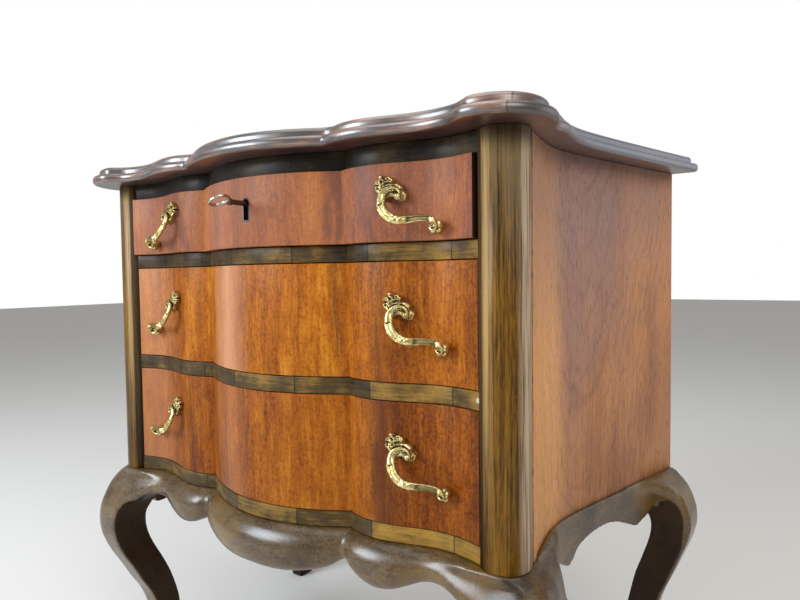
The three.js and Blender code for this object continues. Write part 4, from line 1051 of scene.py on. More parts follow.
def frontLegBox(share):
    v, p = legShape, planValues
    offset = v["offset"] * readRows(v["offsets"], share)
    out = offset + (v["reach"] * readCurve(v["outer"], share) + cornerRound(share) * (math.sqrt(2) - 1)) / math.sqrt(2)
    x1 = p["columnAxis"] + out
    y0 = p["columnAxisDepth"] - out + 2 * offset
    inward = v["reach"] * readCurve(v["inner"], share) / math.sqrt(2)
    x0 = min(p["columnAxis"] + offset + inward, x1 - v["foot"])
    y1 = max(p["columnAxisDepth"] + offset - inward, y0 + v["foot"])
    block = smooth((share - v["blockFrom"]) / v["blockRun"])
    blockX, blockY = max(p["openingHalf"] + p["gap"], x0), min(p["postDepth"], y1)
    x0, y1 = x0 + (blockX - x0) * block, y1 + (blockY - y1) * block
    backX = x1 - v["slant"] * (y1 - y0 - v["foot"])
    least = sideHalf(p["postDepth"]) + v["apronProud"]
    return x0, y0, x1, y1, backX + (max(least, backX) - backX) * block


def backLegBox(share):
    v, p = legShape, planValues
    x1 = v["backAxis"] + v["reach"] * readCurve(v["backOuter"], share)
    x0 = v["backAxis"] + v["reach"] * readCurve(v["backInner"], share)
    y0 = p["bodyDepth"] - v["backDepth"] * min(1, readCurve(v["backDepths"], share))
    return x0, y0, x1 - readRows(v["backSlant"], share), p["bodyDepth"], x1


def legRing(box, z, outerRound, arris):
    x0, y0, x1, y1, backX = box
    quarter = math.pi / 2
    many, few = legShape["roundSteps"], legShape["arrisSteps"]
    corners = [
        (x1 - outerRound, y0 + outerRound, outerRound, -quarter, many), (backX - arris, y1 - arris, arris, 0, few),
        (x0 + arris, y1 - arris, arris, quarter, few), (x0 + arris, y0 + arris, arris, 2 * quarter, few)]
    ring = []
    for x, y, radius, start, count in corners:
        ring += arcPoints(x, y, radius, np.linspace(start, start + quarter, count))
    return [(x, y, z) for x, y in ring]


def legMeshes():
    v = legShape
    meshes = []
    shares = sorted({*np.linspace(0, 1, v["sections"]), *v["moreSections"]})
    front = [legRing(frontLegBox(s), s * v["height"], cornerRound(s), v["arris"]) for s in shares]
    back = [legRing(backLegBox(s), s * v["height"], v["arris"], v["arris"]) for s in shares]
    for kind, rings in (("front", front), ("back", back)):
        points, faces = skin(rings)
        meshes += [plainMesh(kind + "Leg", points, faces, mirrored) for mirrored in (False, True)]
    return meshes


# Aprons.


apronShape = {
    "thickness": 24, "bulge": 17, "top": 335.7, "kneeRun": 72, "lap": 5, "lobeDrop": 54.5, "wingDrop": 51.5,
    "creaseFade": 28, "kneeFade": 40, "step": 2.2, "overKnee": 0.05, "frontRound": 0.3, "sideRoundShare": 0.1,
    "lobe": [(0, 1), (0.35, 1), (0.6, 0.93), (0.81, 0.8), (0.92, 0.67), (1, 0.6)],
    "wing": [
        (0, 0.635), (0.046, 0.74), (0.113, 0.84), (0.2, 0.955), (0.28, 1), (0.38, 0.955), (0.47, 0.84),
        (0.563, 0.706), (0.64, 0.637), (0.71, 0.607), (0.775, 0.592), (0.84, 0.622), (0.92, 0.76), (1, 0.95)],
    "section": [
        (0, 0.06), (0.05, 0.24), (0.12, 0.5), (0.3, 0.86), (0.5, 1), (0.7, 0.95), (0.87, 0.72), (0.95, 0.48),
        (1, 0.1)],
    "sideDrop": 53, "sideProud": 5, "backRun": (10, 46), "archFoot": 305.5, "archRise": 28, "archEdge": 7,
    "hiddenDrop": 18, "sideSections": 130,
    "lip": [(70, 0), (88, 5), (300, 5), (392, 6.4), (437, 7)], "lipSlope": 1.2,  # stands up in front of the side panel
    "side": [
        (0, 1.34), (0.04, 1.24), (0.085, 1.13), (0.13, 1.04), (0.18, 0.965), (0.23, 0.92), (0.252, 0.785),
        (0.28, 0.835), (0.31, 0.93), (0.34, 1.045), (0.357, 0.985), (0.373, 0.915), (0.39, 0.81), (0.406, 0.73),
        (0.437, 0.665), (0.468, 0.62), (0.536, 0.56), (0.618, 0.555), (0.698, 0.65), (0.75, 0.75), (0.8, 0.88),
        (0.838, 0.99), (0.872, 0.921), (0.916, 0.855), (0.941, 0.781), (0.968, 0.707), (1, 0.675)],
    "cusps": [0.23, 0.252, 0.34, 0.838],
    "frontDowns": [0, 0.02, 0.05, 0.09, *np.linspace(0.13, 0.9, 18), 0.93, 0.955, 0.975, 0.99, 1],
    "sideDowns": [0, 0.02, 0.05, 0.1, *np.linspace(0.16, 0.88, 14), 0.92, 0.96, 0.985, 1],
    "seat": 0.1, "sideRounding": 1.6, "rimRounding": 1.2, "rimRound": 2, "flatShare": 0.75, "near": 0.2,
    "sideSwell": 16, "sideRound": 3,  # the flat face swells out below its top edge and is rounded at its lower edge
}


def frontDrop(x):
    v, lobe = apronShape, planValues["lobeHalf"]
    away = abs(x)
    if away <= lobe:
        return v["lobeDrop"] * readCurve(v["lobe"], away / lobe)
    return v["wingDrop"] * readCurve(v["wing"], (away - lobe) / (planValues["openingHalf"] - lobe))


def frontApronMesh():
    v, p = apronShape, planValues
    half = p["openingHalf"] - p["gap"]
    rings = []
    for x in frontStations(half + v["lap"], v["step"]):
        drop = frontDrop(min(abs(x), half))
        toKnee = smooth(1 - (half - abs(x)) / v["kneeRun"])
        slope = (frontDepth(x + v["near"]) - frontDepth(x - v["near"])) / (2 * v["near"])
        fade = smooth(abs(abs(x) - p["lobeHalf"]) / v["creaseFade"]) * smooth((half - abs(x)) / v["kneeFade"])
        norm = math.hypot(slope, 1)
        back = frontDepth(x) + v["thickness"]
        ring = [(x, back, v["top"])]
        for down in v["frontDowns"]:
            bulge = v["bulge"] * readCurve(v["section"], down)
            z = v["top"] - drop * down
            plain = frontDepth(x) - bulge / norm
            edge = legShape["arris"] * (1 - smooth((1 - down) / v["frontRound"]))
            knee = min(plain, frontLegBox(z / legShape["height"])[1] + v["overKnee"] + edge)
            ring.append((x + bulge * slope / norm * fade, plain + (knee - plain) * toKnee, z))
        ring.append((x, back, v["top"] - drop))
        rings.append(ring)
    return plainMesh("frontApron", *skin(rings))


def sideDropAt(share):
    rows, cusps = apronShape["side"], apronShape["cusps"]
    edges = [0, *cusps, 1]
    for low, high in zip(edges, edges[1:]):
        if share <= high:
            part = [row for row in rows if low <= row[0] <= high]
            return readCurve(part, share)
    return rows[-1][1]


def backKneeSide(y, z):  # where the outer face of the back leg stands
    height = legShape["height"]
    x0, y0, frontX, y1, backX = backLegBox(min(z / height, 1))
    share = min(max((y - y0) / (y1 - y0), 0), 1)
    return frontX + (backX - frontX) * share - max(0, z - height) * apronShape["lipSlope"]


def sideApronRing(y, drop):
    v, p = apronShape, planValues
    height, top = legShape["height"], v["top"]
    rim = top + readRows(v["lip"], y)
    start, end = p["postDepth"], p["bodyDepth"] - legShape["backDepth"]
    nearFront = smooth(1 - (y - start) / v["kneeRun"])
    half = sideHalf(y)
    inner = half - p["panelThickness"]
    ring = [(inner, y, top), (half + v["seat"], y, top - 0.01), (half + v["seat"], y, rim)]
    for down in v["sideDowns"]:
        z = rim - (rim - top + drop) * down
        rounding = v["sideRounding"] * (1 - smooth((z - top + drop) / v["sideRound"]))
        rounding += v["rimRounding"] * (1 - smooth((rim - z) / v["rimRound"]))
        swell = v["flatShare"] + (1 - v["flatShare"]) * smooth((rim - z) / v["sideSwell"])
        plain = half + v["sideProud"] * swell - rounding
        edge = legShape["arris"] * (1 - smooth((1 - down) / v["sideRoundShare"])) * (y < end) + v["overKnee"]
        atFront = max(plain, frontLegBox(min(z / height, 1))[4] - edge)
        atBack = max(plain, backKneeSide(y, z) - edge)
        shortRun, longRun = v["backRun"]
        run = shortRun + (longRun - shortRun) * smooth((z - v["archFoot"]) / v["archRise"])
        nearBack = smooth(1 - (end - y) / run)
        if y < end + 1:
            nearBack *= smooth((z - v["archFoot"]) / v["archEdge"])
        ring.append((plain + (atFront - plain) * nearFront + (atBack - plain) * nearBack, y, z))
    ring.append((inner, y, top - drop))
    return ring


def sideApronMeshes():
    v, p = apronShape, planValues
    start, end = p["postDepth"] + p["gap"], p["bodyDepth"] - legShape["backDepth"] - p["gap"]
    shares = sorted({*np.linspace(0, 1, v["sideSections"]), *v["cusps"]})
    rings = [sideApronRing(y, v["sideDrop"] * sideDropAt(0)) for y in np.linspace(v["lip"][0][0], start - 2, 6)]
    rings += [sideApronRing(start + (end - start) * share, v["sideDrop"] * sideDropAt(share)) for share in shares]
    rings += [sideApronRing(y, v["hiddenDrop"]) for y in np.linspace(end + 2, p["bodyDepth"], 20)]
    points, faces = skin(rings)
    return [plainMesh("sideApron", points, faces, mirrored) for mirrored in (False, True)]


carvedShape = {
    "grain": 0.0024, "rounds": 2, "kneeRounds": 60, "kneeFoot": 0.245, "kneeRise": 0.025, "rim": 0.01,
    "underRim": 0.002, "frontReach": 0.032, "sideReach": 0.024, "backReach": 0.006,  # reach: how far a joint is blended
}


def kneeShare(points):  # 1 on the joints of apron and knee, 0 away from them
    v, p = carvedShape, planValues
    x, y, z = np.abs(points[:, 0]), points[:, 1], points[:, 2]
    post, back = depthInFrame(p["postDepth"]), depthInFrame(p["bodyDepth"] - legShape["backDepth"])
    opening = p["openingHalf"] * millimetre
    front = (1 - np.abs(x - opening) / v["frontReach"]) * (y < post)
    side = (1 - np.abs(y - post) / v["sideReach"]) * (x > opening)
    rear = (1 - np.abs(y - back) / v["backReach"]) * (x > opening)
    near = np.clip(np.maximum(np.maximum(front, side), rear), 0, 1)
    above = np.clip((z - v["kneeFoot"]) / v["kneeRise"], 0, 1)
    below = np.clip((legShape["height"] * millimetre - v["underRim"] - z) / v["rim"], 0, 1)
    return near * near * (3 - 2 * near) * above * below


def easeKnees(mesh):
    v = carvedShape
    count = len(mesh.vertices)
    points = np.empty(count * 3, dtype=np.float32)
    mesh.vertices.foreach_get("co", points)
    points = points.reshape(-1, 3).astype(float)
    edges = np.empty(len(mesh.edges) * 2, dtype=np.int32)
    mesh.edges.foreach_get("vertices", edges)
    a, b = edges[0::2], edges[1::2]
    degree = np.bincount(a, minlength=count) + np.bincount(b, minlength=count)
    share = kneeShare(points)
    for i in range(v["rounds"] + v["kneeRounds"]):
        weight = 0.5 if i < v["rounds"] else 0.5 * share[:, None]
        sums = [np.bincount(a, points[b, k], count) + np.bincount(b, points[a, k], count) for k in range(3)]
        points += (np.stack(sums, axis=1) / degree[:, None] - points) * weight
    points[:, 2] = np.maximum(points[:, 2], 0)  # the feet stay on the floor
    mesh.vertices.foreach_set("co", points.astype(np.float32).ravel())
    mesh.update()


def makeBase():  # legs and aprons, fused into one carved body
    carrier = addObject("baseParts", merged("baseParts", [*legMeshes(), frontApronMesh(), *sideApronMeshes()]))
    fuse = carrier.modifiers.new("fuse", "REMESH")
    fuse.mode = "VOXEL"
    fuse.voxel_size = carvedShape["grain"]
    mesh = applied(carrier)
    easeKnees(mesh)
    nodes = ["front_apron", "side_apron_left", "side_apron_right", "front_leg_left", "front_leg_right",
             "back_leg_left", "back_leg_right"]
    settle("carvedBase", mesh, "base", "carcass", nodes, 55)
    print("legs and aprons made,", len(mesh.polygons), "faces")


makeBase()


# Pulls. Their points are u outwards, w up and s away from the drawer, all from the small volute.


pullShape = {
    "at": 198, "heights": {"top": 701, "middle": 581, "bottom": 434}, "topLeftShift": 12,
    "settings": {"top": (0.8, 0.8, 2.5), "middle": (2.8, 0, 0.3), "bottom": (3, -0.6, 0.6)},  # u, w and turn
    "path": [  # from the volute round the leaf, down the stem and along the bar
        (2.9, -0.8, 10), (2.7, 2.6, 10.6), (0.9, 5.6, 11), (-2, 7.5, 11.2), (-6.2, 7.9, 11.2), (-11.2, 6, 11.4),
        (-14.4, 1.8, 12), (-15, -3.5, 13.5), (-13.7, -9, 15.8), (-10.8, -14.6, 18.2), (-6.6, -19.6, 20),
        (-1.2, -23.8, 21), (5, -26.3, 21.4), (11.8, -27, 21.4), (20, -26.7, 21.4), (29, -26.5, 21.2),
        (36, -27.2, 20.2), (40.2, -29.4, 18), (41.4, -32.4, 15)],
    "width": [
        (0, 0.9), (0.1, 1.2), (0.22, 1.9), (0.29, 2.9), (0.35, 3.8), (0.42, 4.4), (0.5, 4.6), (0.6, 4.7),
        (0.68, 4.3), (0.75, 3.9), (0.88, 3.4), (0.95, 3.3), (1, 2.8)],
    "depth": [(0, 1.2), (0.22, 2), (0.35, 3), (0.5, 3.4), (0.66, 3.2), (0.75, 2.8), (1, 2.6)],
    "panel": (0.435, 0.628), "bands": (0.652, 0.69), "hollow": (0.72, 0.955),
    "rimBeads": [(-3.2, 5, 11.6), (-7, 4.6, 12), (-9.8, 2.4, 12.8), (-11, -1, 14), (-10.6, -4.8, 15.4)],
    "beadCount": 8, "beadRadius": 0.85,
    "panelDepth": 1.5, "slitDepth": 1.2, "reedHeight": 0.45, "bandHeight": 0.7, "hollowDepth": 3.2,
    "rays": 40, "rayStart": 0.06, "rayReach": 5, "seed": 7,  # for the dirt in the hollows
    "curl": [  # the scroll at the end of the bar
        (40.6, -30, 19.4), (43.2, -32.2, 17.4), (43, -36, 15.2), (40, -38.6, 13.8), (36.2, -38, 13),
        (33.6, -35.4, 12.6)],
    "curlRadius": (1.9, 1.1),
    "hook": [(2.9, -0.8, 10.2), (1.6, -3.2, 10), (-0.8, -3.6, 9.6), (-2.4, -1.8, 9.6), (-1.8, 0.6, 10)],
    "knobs": [  # middle and radii: volute, fixing behind the leaf, and two small balls
        ((0.6, -0.9, 10), (2.9, 2.9, 3.2)), ((0, 0.6, 3), (3.4, 3.6, 6)), ((-18.6, 20.6, 6), (1.7, 1.7, 1.7)),
        ((6, -0.6, 5.6), (1.5, 1.9, 1.6))],
    "claw": [
        ((39.2, -34.4, 5), (6.3, 6.6, 8.6)), ((35.4, -34.2, 11), (2.9, 2.9, 3)), ((35.4, -34, 13.6), (1.1, 1.1, 1.3)),
        ((36.4, -39, 8), (3.9, 3.4, 4.8)), ((44.2, -33.2, 9.6), (3.7, 4.8, 6)), ((42.2, -39, 8), (3.6, 3.3, 4.8))],
}
leafShape = {
    "inner": [
        (0.7, -5.2), (-1.6, -3.4), (-3.2, -1.9), (-4.8, -1), (-7.5, -0.4), (-9.6, -0.9), (-11.8, -2.5),
        (-13.6, -5.6)],
    "outer": [
        (3.9, -6.6), (5.9, -5), (7, -1.4), (6.8, 1.6), (5.2, 4), (3.3, 5.2), (3.4, 8.4), (1.6, 11.2), (-1.2, 12.6),
        (-4, 13.2), (-5.9, 14.1), (-6.6, 17.6), (-9.3, 19.9), (-12.4, 20.4), (-15, 18.9), (-16, 21.3), (-18.9, 22.8),
        (-20.7, 19.6), (-21.9, 18.3), (-24.8, 17), (-25.8, 14.2), (-23.6, 12.6), (-25.8, 10.9), (-24.6, 7.6), (-21, 5),
        (-18.5, 0)],
    "creases": [  # line, rise (below 0 for a notch), width
        ([(-17.2, 7.4), (-13.6, 10.4), (-8.9, 11.9), (-3.7, 10.9), (0.6, 8), (3.2, 4.2), (4.7, 0.4), (4.2, -3.4)],
         2, 1),
        ([(-18.2, 11.4), (-14.2, 14.4), (-9.8, 15.6), (-6, 14.2)], 1.7, 0.9),
        ([(-19, 6), (-19.4, 9.4), (-21, 11)], 1.4, 0.8), ([(-13.8, 15.6), (-16.6, 17.4), (-18.2, 19.8)], 1.4, 0.8),
        ([(3.3, 5.2), (2, 6)], -1.2, 0.6), ([(-5.9, 14.1), (-6, 13)], -1.2, 0.6),
        ([(-15, 18.9), (-13.8, 16.8)], -1.4, 0.6), ([(-20.7, 19.4), (-18.6, 16.2)], -1.6, 0.7),
        ([(-23.4, 12.6), (-20.6, 12.6)], -1.6, 0.7)],
    "pits": [((-17.9, 15.6), -3, 1.4), ((-22.2, 14.8), -1.6, 1), ((-11.4, 18), -1.4, 1.1), ((-22.4, 9.4), -1.2, 1)],
    "veins": 3, "flutes": 12, "relief": 0.6, "steps": (200, 56),  # steps: points along the leaf and across it
    "rise": 9.2, "fall": 3.8, "lip": 0.9, "least": 0.6,
}


def ball(centre, radii, turns=24, rows=14):
    spots = []
    for i in range(1, rows):
        a = math.pi * i / rows
        spots += [(x, y, math.cos(a)) for x, y in arcPoints(0, 0, math.sin(a), 2 * math.pi * np.arange(turns) / turns)]
    points = np.array(centre) + np.array(spots + [(0, 0, 1), (0, 0, -1)]) * np.array(radii)
    top, bottom = len(points) - 2, len(points) - 1
    faces = []
    for k in range(turns):
        n = (k + 1) % turns
        faces.append((top, k, n))
        last = (rows - 2) * turns
        faces.append((bottom, last + n, last + k))
        for i in range(rows - 2):
            a, b = i * turns + k, i * turns + n
            faces.append((a, a + turns, b + turns, b))
    return points, faces


def tube(line, radii, turns=14, section=None):  # radii across and deep; section pulls the front in or out
    line = np.array(line, dtype=float)
    forward = np.gradient(line, axis=0)
    forward /= np.linalg.norm(forward, axis=1)[:, None]
    rings = []
    for i, centre in enumerate(line):
        side = np.cross(forward[i], (0, 0, 1))
        side /= np.linalg.norm(side) + 1e-9
        front = np.cross(side, forward[i])
        across, deep = radii[i]
        ring = []
        for k in range(turns):
            a = 2 * math.pi * k / turns
            c, s = math.cos(a), math.sin(a)
            extra = section(i / (len(line) - 1), c, s) if section else 0
            ring.append(centre + side * across * c + front * (deep * s + extra))
        rings.append(ring)
    return skin(rings)


def pullSection(t, c, s):  # a sunk panel on the stem, a double collar, and a hollow under the bar's upper edge
    v = pullShape
    if s < 0.1:
        return 0
    extra = 0
    start, end = v["panel"]
    if start < t < end:
        ends = smooth((t - start) / 0.012) * smooth((end - t) / 0.02)
        slit = v["slitDepth"] * smooth((start + 0.018 - t) / 0.008)
        reeds = v["reedHeight"] * math.cos(2 * math.pi * c / 0.42) * smooth((0.6 - abs(c)) / 0.1)
        extra -= (v["panelDepth"] + slit - reeds) * ends * smooth((0.68 - abs(c)) / 0.14)
    for place in v["bands"]:
        extra += v["bandHeight"] * max(0, 1 - ((t - place) / 0.011) ** 2)
    start, end = v["hollow"]
    if start < t < end:
        ends = smooth((t - start) / 0.03) * smooth((end - t) / 0.06)
        extra -= v["hollowDepth"] * ends * smooth((c + 0.72) / 0.25) * smooth((0.62 - c) / 0.2)
    return extra


def distanceTo(spots, line):
    best = np.full(len(spots), 1e9)
    line = np.array(line, dtype=float)
    for a, b in zip(line, line[1:]):
        run = b - a
        share = np.clip(((spots - a) @ run) / (run @ run), 0, 1)
        best = np.minimum(best, np.linalg.norm(spots - a - share[:, None] * run, axis=1))
    return best


def makeLeaf():
    v = leafShape
    alongCount, acrossCount = v["steps"]
    inner, outer = [throughPoints([(*spot, 0) for spot in v[edge]], alongCount)[:, :2] for edge in ("inner", "outer")]
    rings = []
    shares = np.linspace(0, 1, acrossCount) ** 0.85
    for i in range(alongCount):
        spots = inner[i] + (outer[i] - inner[i]) * shares[:, None]
        rise = v["rise"] - v["fall"] * shares ** 1.3
        for line, height, width in v["creases"]:
            rise += height * np.exp(-(distanceTo(spots, line) / width) ** 2)
        for spot, height, width in v["pits"]:
            rise += height * np.exp(-(np.linalg.norm(spots - np.array(spot), axis=1) / width) ** 2)
        along = i / (alongCount - 1)
        crest = smooth((along - 0.5) / 0.12)
        veins = np.cos(2 * math.pi * (shares * v["veins"] + along)) * (1 - crest)
        flutes = math.cos(2 * math.pi * along * v["flutes"]) * crest * smooth((0.95 - along) / 0.1)
        rise += v["relief"] * (veins + flutes * np.clip(shares * 2 - 0.3, 0, 1)) * np.clip(shares / 0.15, 0, 1)
        edge = np.linalg.norm(spots - outer[i], axis=1)
        rise += v["lip"] * np.exp(-((edge - 1.1) / 0.7) ** 2)
        rise -= 3 * np.clip(1 - edge / 0.7, 0, 1) ** 2
        front = [(*spot, max(s, v["least"])) for spot, s in zip(spots, rise)]
        rings.append(front + [(*spots[-1], -v["least"]), (*spots[0], -v["least"])])
    return skin(rings)


def makePullTemplate():
    v = pullShape
    path, curl, hook = throughPoints(v["path"], 250), throughPoints(v["curl"], 60), throughPoints(v["hook"], 40)
    radii = [(readCurve(v["width"], t), readCurve(v["depth"], t)) for t in np.linspace(0, 1, len(path))]
    curlRadii = [(r, r) for r in np.linspace(*v["curlRadius"], len(curl))]
    parts = [makeLeaf(), tube(path, radii, 36, pullSection), tube(curl, curlRadii, 16)]
    parts += [tube(hook, [(1, 1)] * len(hook))]
    parts += [ball(*knob) for knob in v["knobs"]] + [ball(*knob, 28, 18) for knob in v["claw"]]
    return rawMesh("pullTemplate", *together(parts))


def beadTree():
    g, value = newTree("beadRow", [
        ("Geometry", "Geometry", None), ("Count", "Int", 9), ("Radius", "Float", 0.9), ("Flatness", "Float", 1.0),
        ("Finish", "Material", None)])
    curve = g.add("GeometryNodeMeshToCurve", {"Mesh": value["Geometry"]})
    spots = g.add("GeometryNodeCurveToPoints", {"Curve": curve, "Count": value["Count"]})
    setChoice(spots.socket.node, "mode", "Mode", "COUNT", "Count")
    bead = g.add("GeometryNodeMeshUVSphere", {"Segments": 12, "Rings": 8, "Radius": value["Radius"]})
    row = g.add("GeometryNodeInstanceOnPoints", {
        "Points": spots, "Instance": bead, "Scale": g.join(1, 1, value["Flatness"])})
    return closeTree(g, row, value["Finish"])


def lineMesh(name, points):
    mesh = bpy.data.meshes.new(name)
    mesh.from_pydata([tuple(p) for p in points], [(i, i + 1) for i in range(len(points) - 1)], [])
    return mesh


beads = beadTree()


def hollowOf(points, normals, tree):  # share of the sky that each point doesn't see
    v = pullShape
    rays = np.random.default_rng(v["seed"]).normal(size=(v["rays"], 3))
    rays /= np.linalg.norm(rays, axis=1)[:, None]
    dark = []
    for point, normal in zip(points, normals):
        start = Vector(point + normal * v["rayStart"])
        seen = [Vector(r if np.dot(r, normal) > 0 else -r) for r in rays]
        hits = sum(tree.ray_cast(start, ray, v["rayReach"])[0] is not None for ray in seen)
        dark.append(hits / len(seen))
    return dark


def makePulls():
    v = pullShape
    template = makePullTemplate()
    line = lineMesh("beadLine", throughPoints(v["rimBeads"], 40))
    row = grow(beads, "pullBeads", {
        "Count": v["beadCount"], "Radius": v["beadRadius"], "Finish": finishes["brass"]}, line)
    work = bmesh.new()
    work.from_mesh(template)
    work.from_mesh(row)
    work.normal_update()
    tree = BVHTree.FromBMesh(work)
    points = np.array([tuple(vert.co) for vert in work.verts])
    normals = np.array([tuple(vert.normal) for vert in work.verts])
    hollow = hollowOf(points, normals, tree)
    layer = work.verts.layers.float.new("hollow")
    for vert, dark in zip(work.verts, hollow):
        vert[layer] = dark
    work.to_mesh(template)
    work.free()
    for drawer, height in v["heights"].items():
        front = -planValues["ajar"] if drawer == "top" else 0
        du, dw, turn = v["settings"][drawer]
        c, s = math.cos(math.radians(turn)), math.sin(math.radians(turn))
        u = points[:, 0] * c - points[:, 1] * s + du
        w = points[:, 0] * s + points[:, 1] * c + dw
        for side, sign in (("right", 1), ("left", -1)):
            middle = v["at"] - (v["topLeftShift"] if (drawer, side) == ("top", "left") else 0)
            depths = np.array([frontDepth(middle + across) for across in u])
            placed = np.stack([sign * (middle + u), depths - points[:, 2] + front, height + w], axis=1)
            mesh = template.copy()
            mesh.vertices.foreach_set("co", toFrame(placed).ravel())
            if sign < 0:
                mesh.flip_normals()
            settle(drawer + "Pull" + side.title(), mesh, "brass", drawer + "_drawer",
                   [drawer + "_drawer_pull_" + side], 60)


makePulls()
print("pulls made")


# Key and keyhole.


keyShape = {
    "bowMiddle": -37.446, "halfWidth": 11.2, "halfLength": 10.2, "wire": 1.9, "bowSteps": (64, 18), "turn": 22,
    "swell": 0.35, "flatness": 0.85, "shankSteps": 28,
    "shank": [  # depth, radius
        (-27.2, 1.4), (-26.9, 2.6), (-26, 3.2), (-25, 3.5), (-24.6, 4.1), (-23.6, 4.3), (-22.6, 4.1), (-22.2, 3.4),
        (-21.6, 3.7), (-20.9, 3.7), (-20.4, 3.1), (-19, 3), (0, 3), (18, 3), (25.6, 3), (26.2, 2.4)],
    "bit": ((2, 18.9, -1.2), (11, 24.9, 1.2)), "arris": 0.0004,
}


def addKeyPart(name, shape, nodes, finish, sharpAngle=35):  # shape is round (0, 0), with the top drawer shut
    a = math.radians(keyShape["turn"])
    x, y, z = np.array(shape[0], dtype=float).T
    points = np.stack([lockShape["at"] + x * math.cos(a) - z * math.sin(a), y - planValues["ajar"],
                       lockShape["height"] + x * math.sin(a) + z * math.cos(a)], axis=1)
    return addPiece(name, points, shape[1], finish, "key", nodes, "key_metal", sharpAngle)


def makeKey():
    k = keyShape
    turns, sides = k["bowSteps"]
    bow = []
    for a in np.linspace(0, 2 * math.pi, turns, endpoint=False):
        thick = k["wire"] * (1 + k["swell"] * smooth((math.sin(a) - 0.3) / 0.7))
        wire = arcPoints(0, 0, thick, np.linspace(0, 2 * math.pi, sides, endpoint=False))
        bow.append([((k["halfWidth"] + out) * math.cos(a), k["bowMiddle"] + (k["halfLength"] + out) * math.sin(a),
                     up * k["flatness"]) for out, up in wire])
    addKeyPart("keyBow", hoop(bow), ["key"], "nickel", 60)
    around = np.linspace(0, 2 * math.pi, k["shankSteps"], endpoint=False)
    shank = skin([[(x, y, z) for x, z in arcPoints(0, 0, radius, around)] for y, radius in k["shank"]])
    addKeyPart("keyShank", shank, [], "shank", 40)
    addBevel(addKeyPart("keyBit", boxShape(*k["bit"]), [], "shank"), k["arris"])


def makeLiner():
    k = lockShape
    face, wall, depth = frontDepth(k["at"]) - planValues["ajar"], k["wall"], k["depth"]
    edge = [(0.15, depth), (0, 0.6), (0.35, -0.15), (0.8, -0.3), (wall - 0.3, -0.28), (wall, 0.1), (wall, depth)]
    rings = [[(x, face + y, z) for x, z in keyholeOutline(wider)] for wider, y in edge]
    addPiece("keyholeLiner", *hoop(rings), "steel", "top_drawer", ["keyhole_liner"], "lock_steel", 40)


makeKey()
makeLiner()
print("key made")


nailShape = {"inset": 14, "sideInset": 40, "backAt": 430, "count": 11, "radius": 2.2, "flatness": 0.35}


def makeNails():  # rows of nail heads round the back panel
    n, p = nailShape, planValues
    half = sideHalf(n["backAt"]) - p["panelThickness"] - p["gap"] - n["inset"]
    low, high = p["caseBase"] + n["inset"], p["caseTop"] - n["inset"]
    sideLow, sideHigh = low + n["sideInset"], high - n["sideInset"]
    rows = [((-half, low), (half, low)), ((-half, high), (half, high)),
            ((-half, sideLow), (-half, sideHigh)), ((half, sideLow), (half, sideHigh))]
    values = {"Count": n["count"], "Radius": n["radius"], "Flatness": n["flatness"], "Finish": finishes["steel"]}
    lines = [lineMesh("nailLine", [(*spot, 0) for spot in row]) for row in rows]
    mesh = merged("backNails", [grow(beads, "nails", values, line) for line in lines])
    for vert in mesh.vertices:
        x, z, out = vert.co
        vert.co = toFrame([(x, p["bodyDepth"] + out, z)])[0]
    turnOutwards(mesh)
    settle("backNails", mesh, "steel", "carcass", [], 60)


makeNails()


# The CAD nodes that stay get their finish here.


def dressNodes():
    across = ("back_top_rail", "back_upper_rail", "back_lower_rail", "back_bottom_rail")
    for name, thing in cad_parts.items():
        if name in across or name.endswith("drawer_back") or name.endswith("drawer_bottom"):
            finish = "alongX"
        elif name.startswith(("rear_post", "back_panel")):
            finish = "alongZ"
        elif name.startswith("lock"):
            finish = "steel"
        elif name == "back_apron":
            finish = "base"
        else:
            finish = "alongY"
        for i in range(len(thing.material_slots)):
            thing.material_slots[i].material = finishes[finish]
        if not thing.material_slots:
            thing.data.materials.append(finishes[finish])


dressNodes()
print("inner pieces dressed")


# Floor, light and camera.


stageValues = {
    "floor": ink(226, 224, 220), "floorDark": ink(214, 211, 206), "floorSize": 14, "floorNoise": ((3, 3, 1), 3),
    "roughness": 0.62, "uneven": 0.1, "world": 0.42,
    "lamps": [  # place, size, power, colour
        ((-1.5, -2.5, 1.6), (1.3, 1.3), 92, (0.8, 0.9, 1)),
        ((1.9, -1.3, 1.9), (1.2, 1.2), 24, (1, 0.97, 0.9)),
        ((0, -0.3, 2.7), (2.2, 2.2), 26, (1, 1, 1)),
        ((2.6, 1.7, 1.1), (2.2, 2), 12, (0.86, 0.93, 1)),
    ],
    "aim": (0, -0.05, 0.45),
}


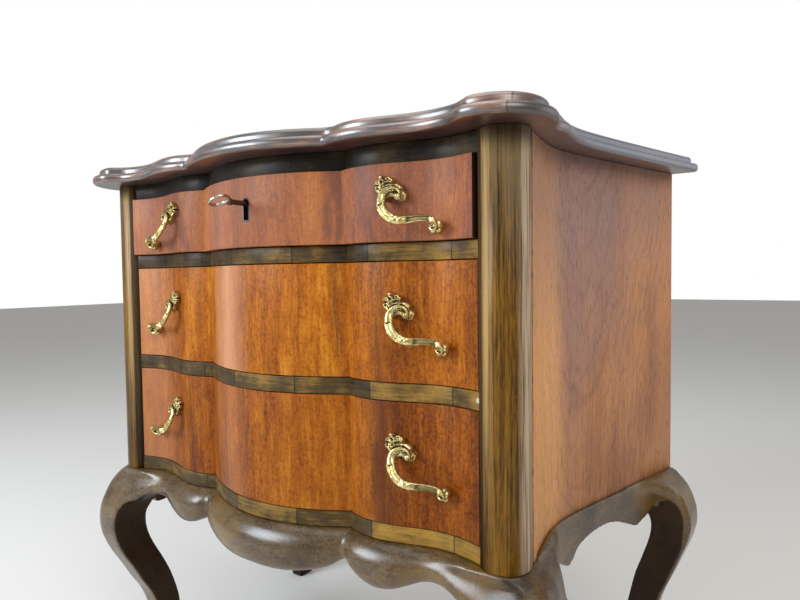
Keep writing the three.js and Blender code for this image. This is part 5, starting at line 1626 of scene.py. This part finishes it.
def makeStage():
    v = stageValues
    mesh = bpy.data.meshes.new("studioFloor")
    size = v["floorSize"]
    mesh.from_pydata([(-size, -size, 0), (size, -size, 0), (size, size, 0), (-size, size, 0)], [], [(0, 1, 2, 3)])
    floor = addObject("studioFloor", mesh)
    material, g, at = newFinish("floorPaint")
    cloud = g.noise(at, *v["floorNoise"])
    colour = g.blend(cloud * 0.15, v["floor"], v["floorDark"])
    mesh.materials.append(closeFinish(material, g, v, colour, cloud))
    world = bpy.data.worlds.new("studio")
    world.use_nodes = True
    world.node_tree.nodes.clear()
    g = Graph(world.node_tree)
    seen = [g.add("ShaderNodeLightPath", output=name) for name in ("Is Camera Ray", "Is Transmission Ray")]
    shown = g.math("MAXIMUM", *seen)
    back = g.add("ShaderNodeBackground", {"Color": (1, 1, 1, 1), "Strength": shown + (1 - shown) * v["world"]})
    g.close("ShaderNodeOutputWorld", "Surface", back)
    bpy.context.scene.world = world
    for i, (place, size, power, colour) in enumerate(v["lamps"]):
        lamp = bpy.data.lights.new("softbox" + str(i + 1), "AREA")
        lamp.shape = "RECTANGLE"
        lamp.size, lamp.size_y = size
        lamp.energy = power
        lamp.color = colour
        thing = addObject(lamp.name, lamp)
        thing.location = place
        thing.rotation_euler = (Vector(v["aim"]) - Vector(place)).to_track_quat("-Z", "Y").to_euler()


cameraValues = {
    "place": (0.5447, -0.675627, 0.6212), "yaw": 0.60072, "pitch": 0.04129, "roll": -0.01278, "lens": 27.045,
}


def makeCamera():
    v = cameraValues
    ahead = Vector((-math.sin(v["yaw"]), math.cos(v["yaw"]), 0))
    right = Vector((math.cos(v["yaw"]), math.sin(v["yaw"]), 0))
    up = Vector((0, 0, 1))
    look = ahead * math.cos(v["pitch"]) - up * math.sin(v["pitch"])
    lift = up * math.cos(v["pitch"]) + ahead * math.sin(v["pitch"])
    side = right * math.cos(v["roll"]) + lift * math.sin(v["roll"])
    high = lift * math.cos(v["roll"]) - right * math.sin(v["roll"])
    data = bpy.data.cameras.new("photoCamera")
    data.lens = v["lens"]
    data.sensor_width = 36
    data.clip_start, data.clip_end = 0.01, 100
    camera = addObject("photoCamera", data)
    turned = Matrix((side, high, -look)).transposed().to_4x4()
    camera.matrix_world = Matrix.Translation(v["place"]) @ turned
    bpy.context.scene.camera = camera


makeStage()
makeCamera()
bpy.context.scene.view_settings.view_transform = "Standard"

print("scene ready")
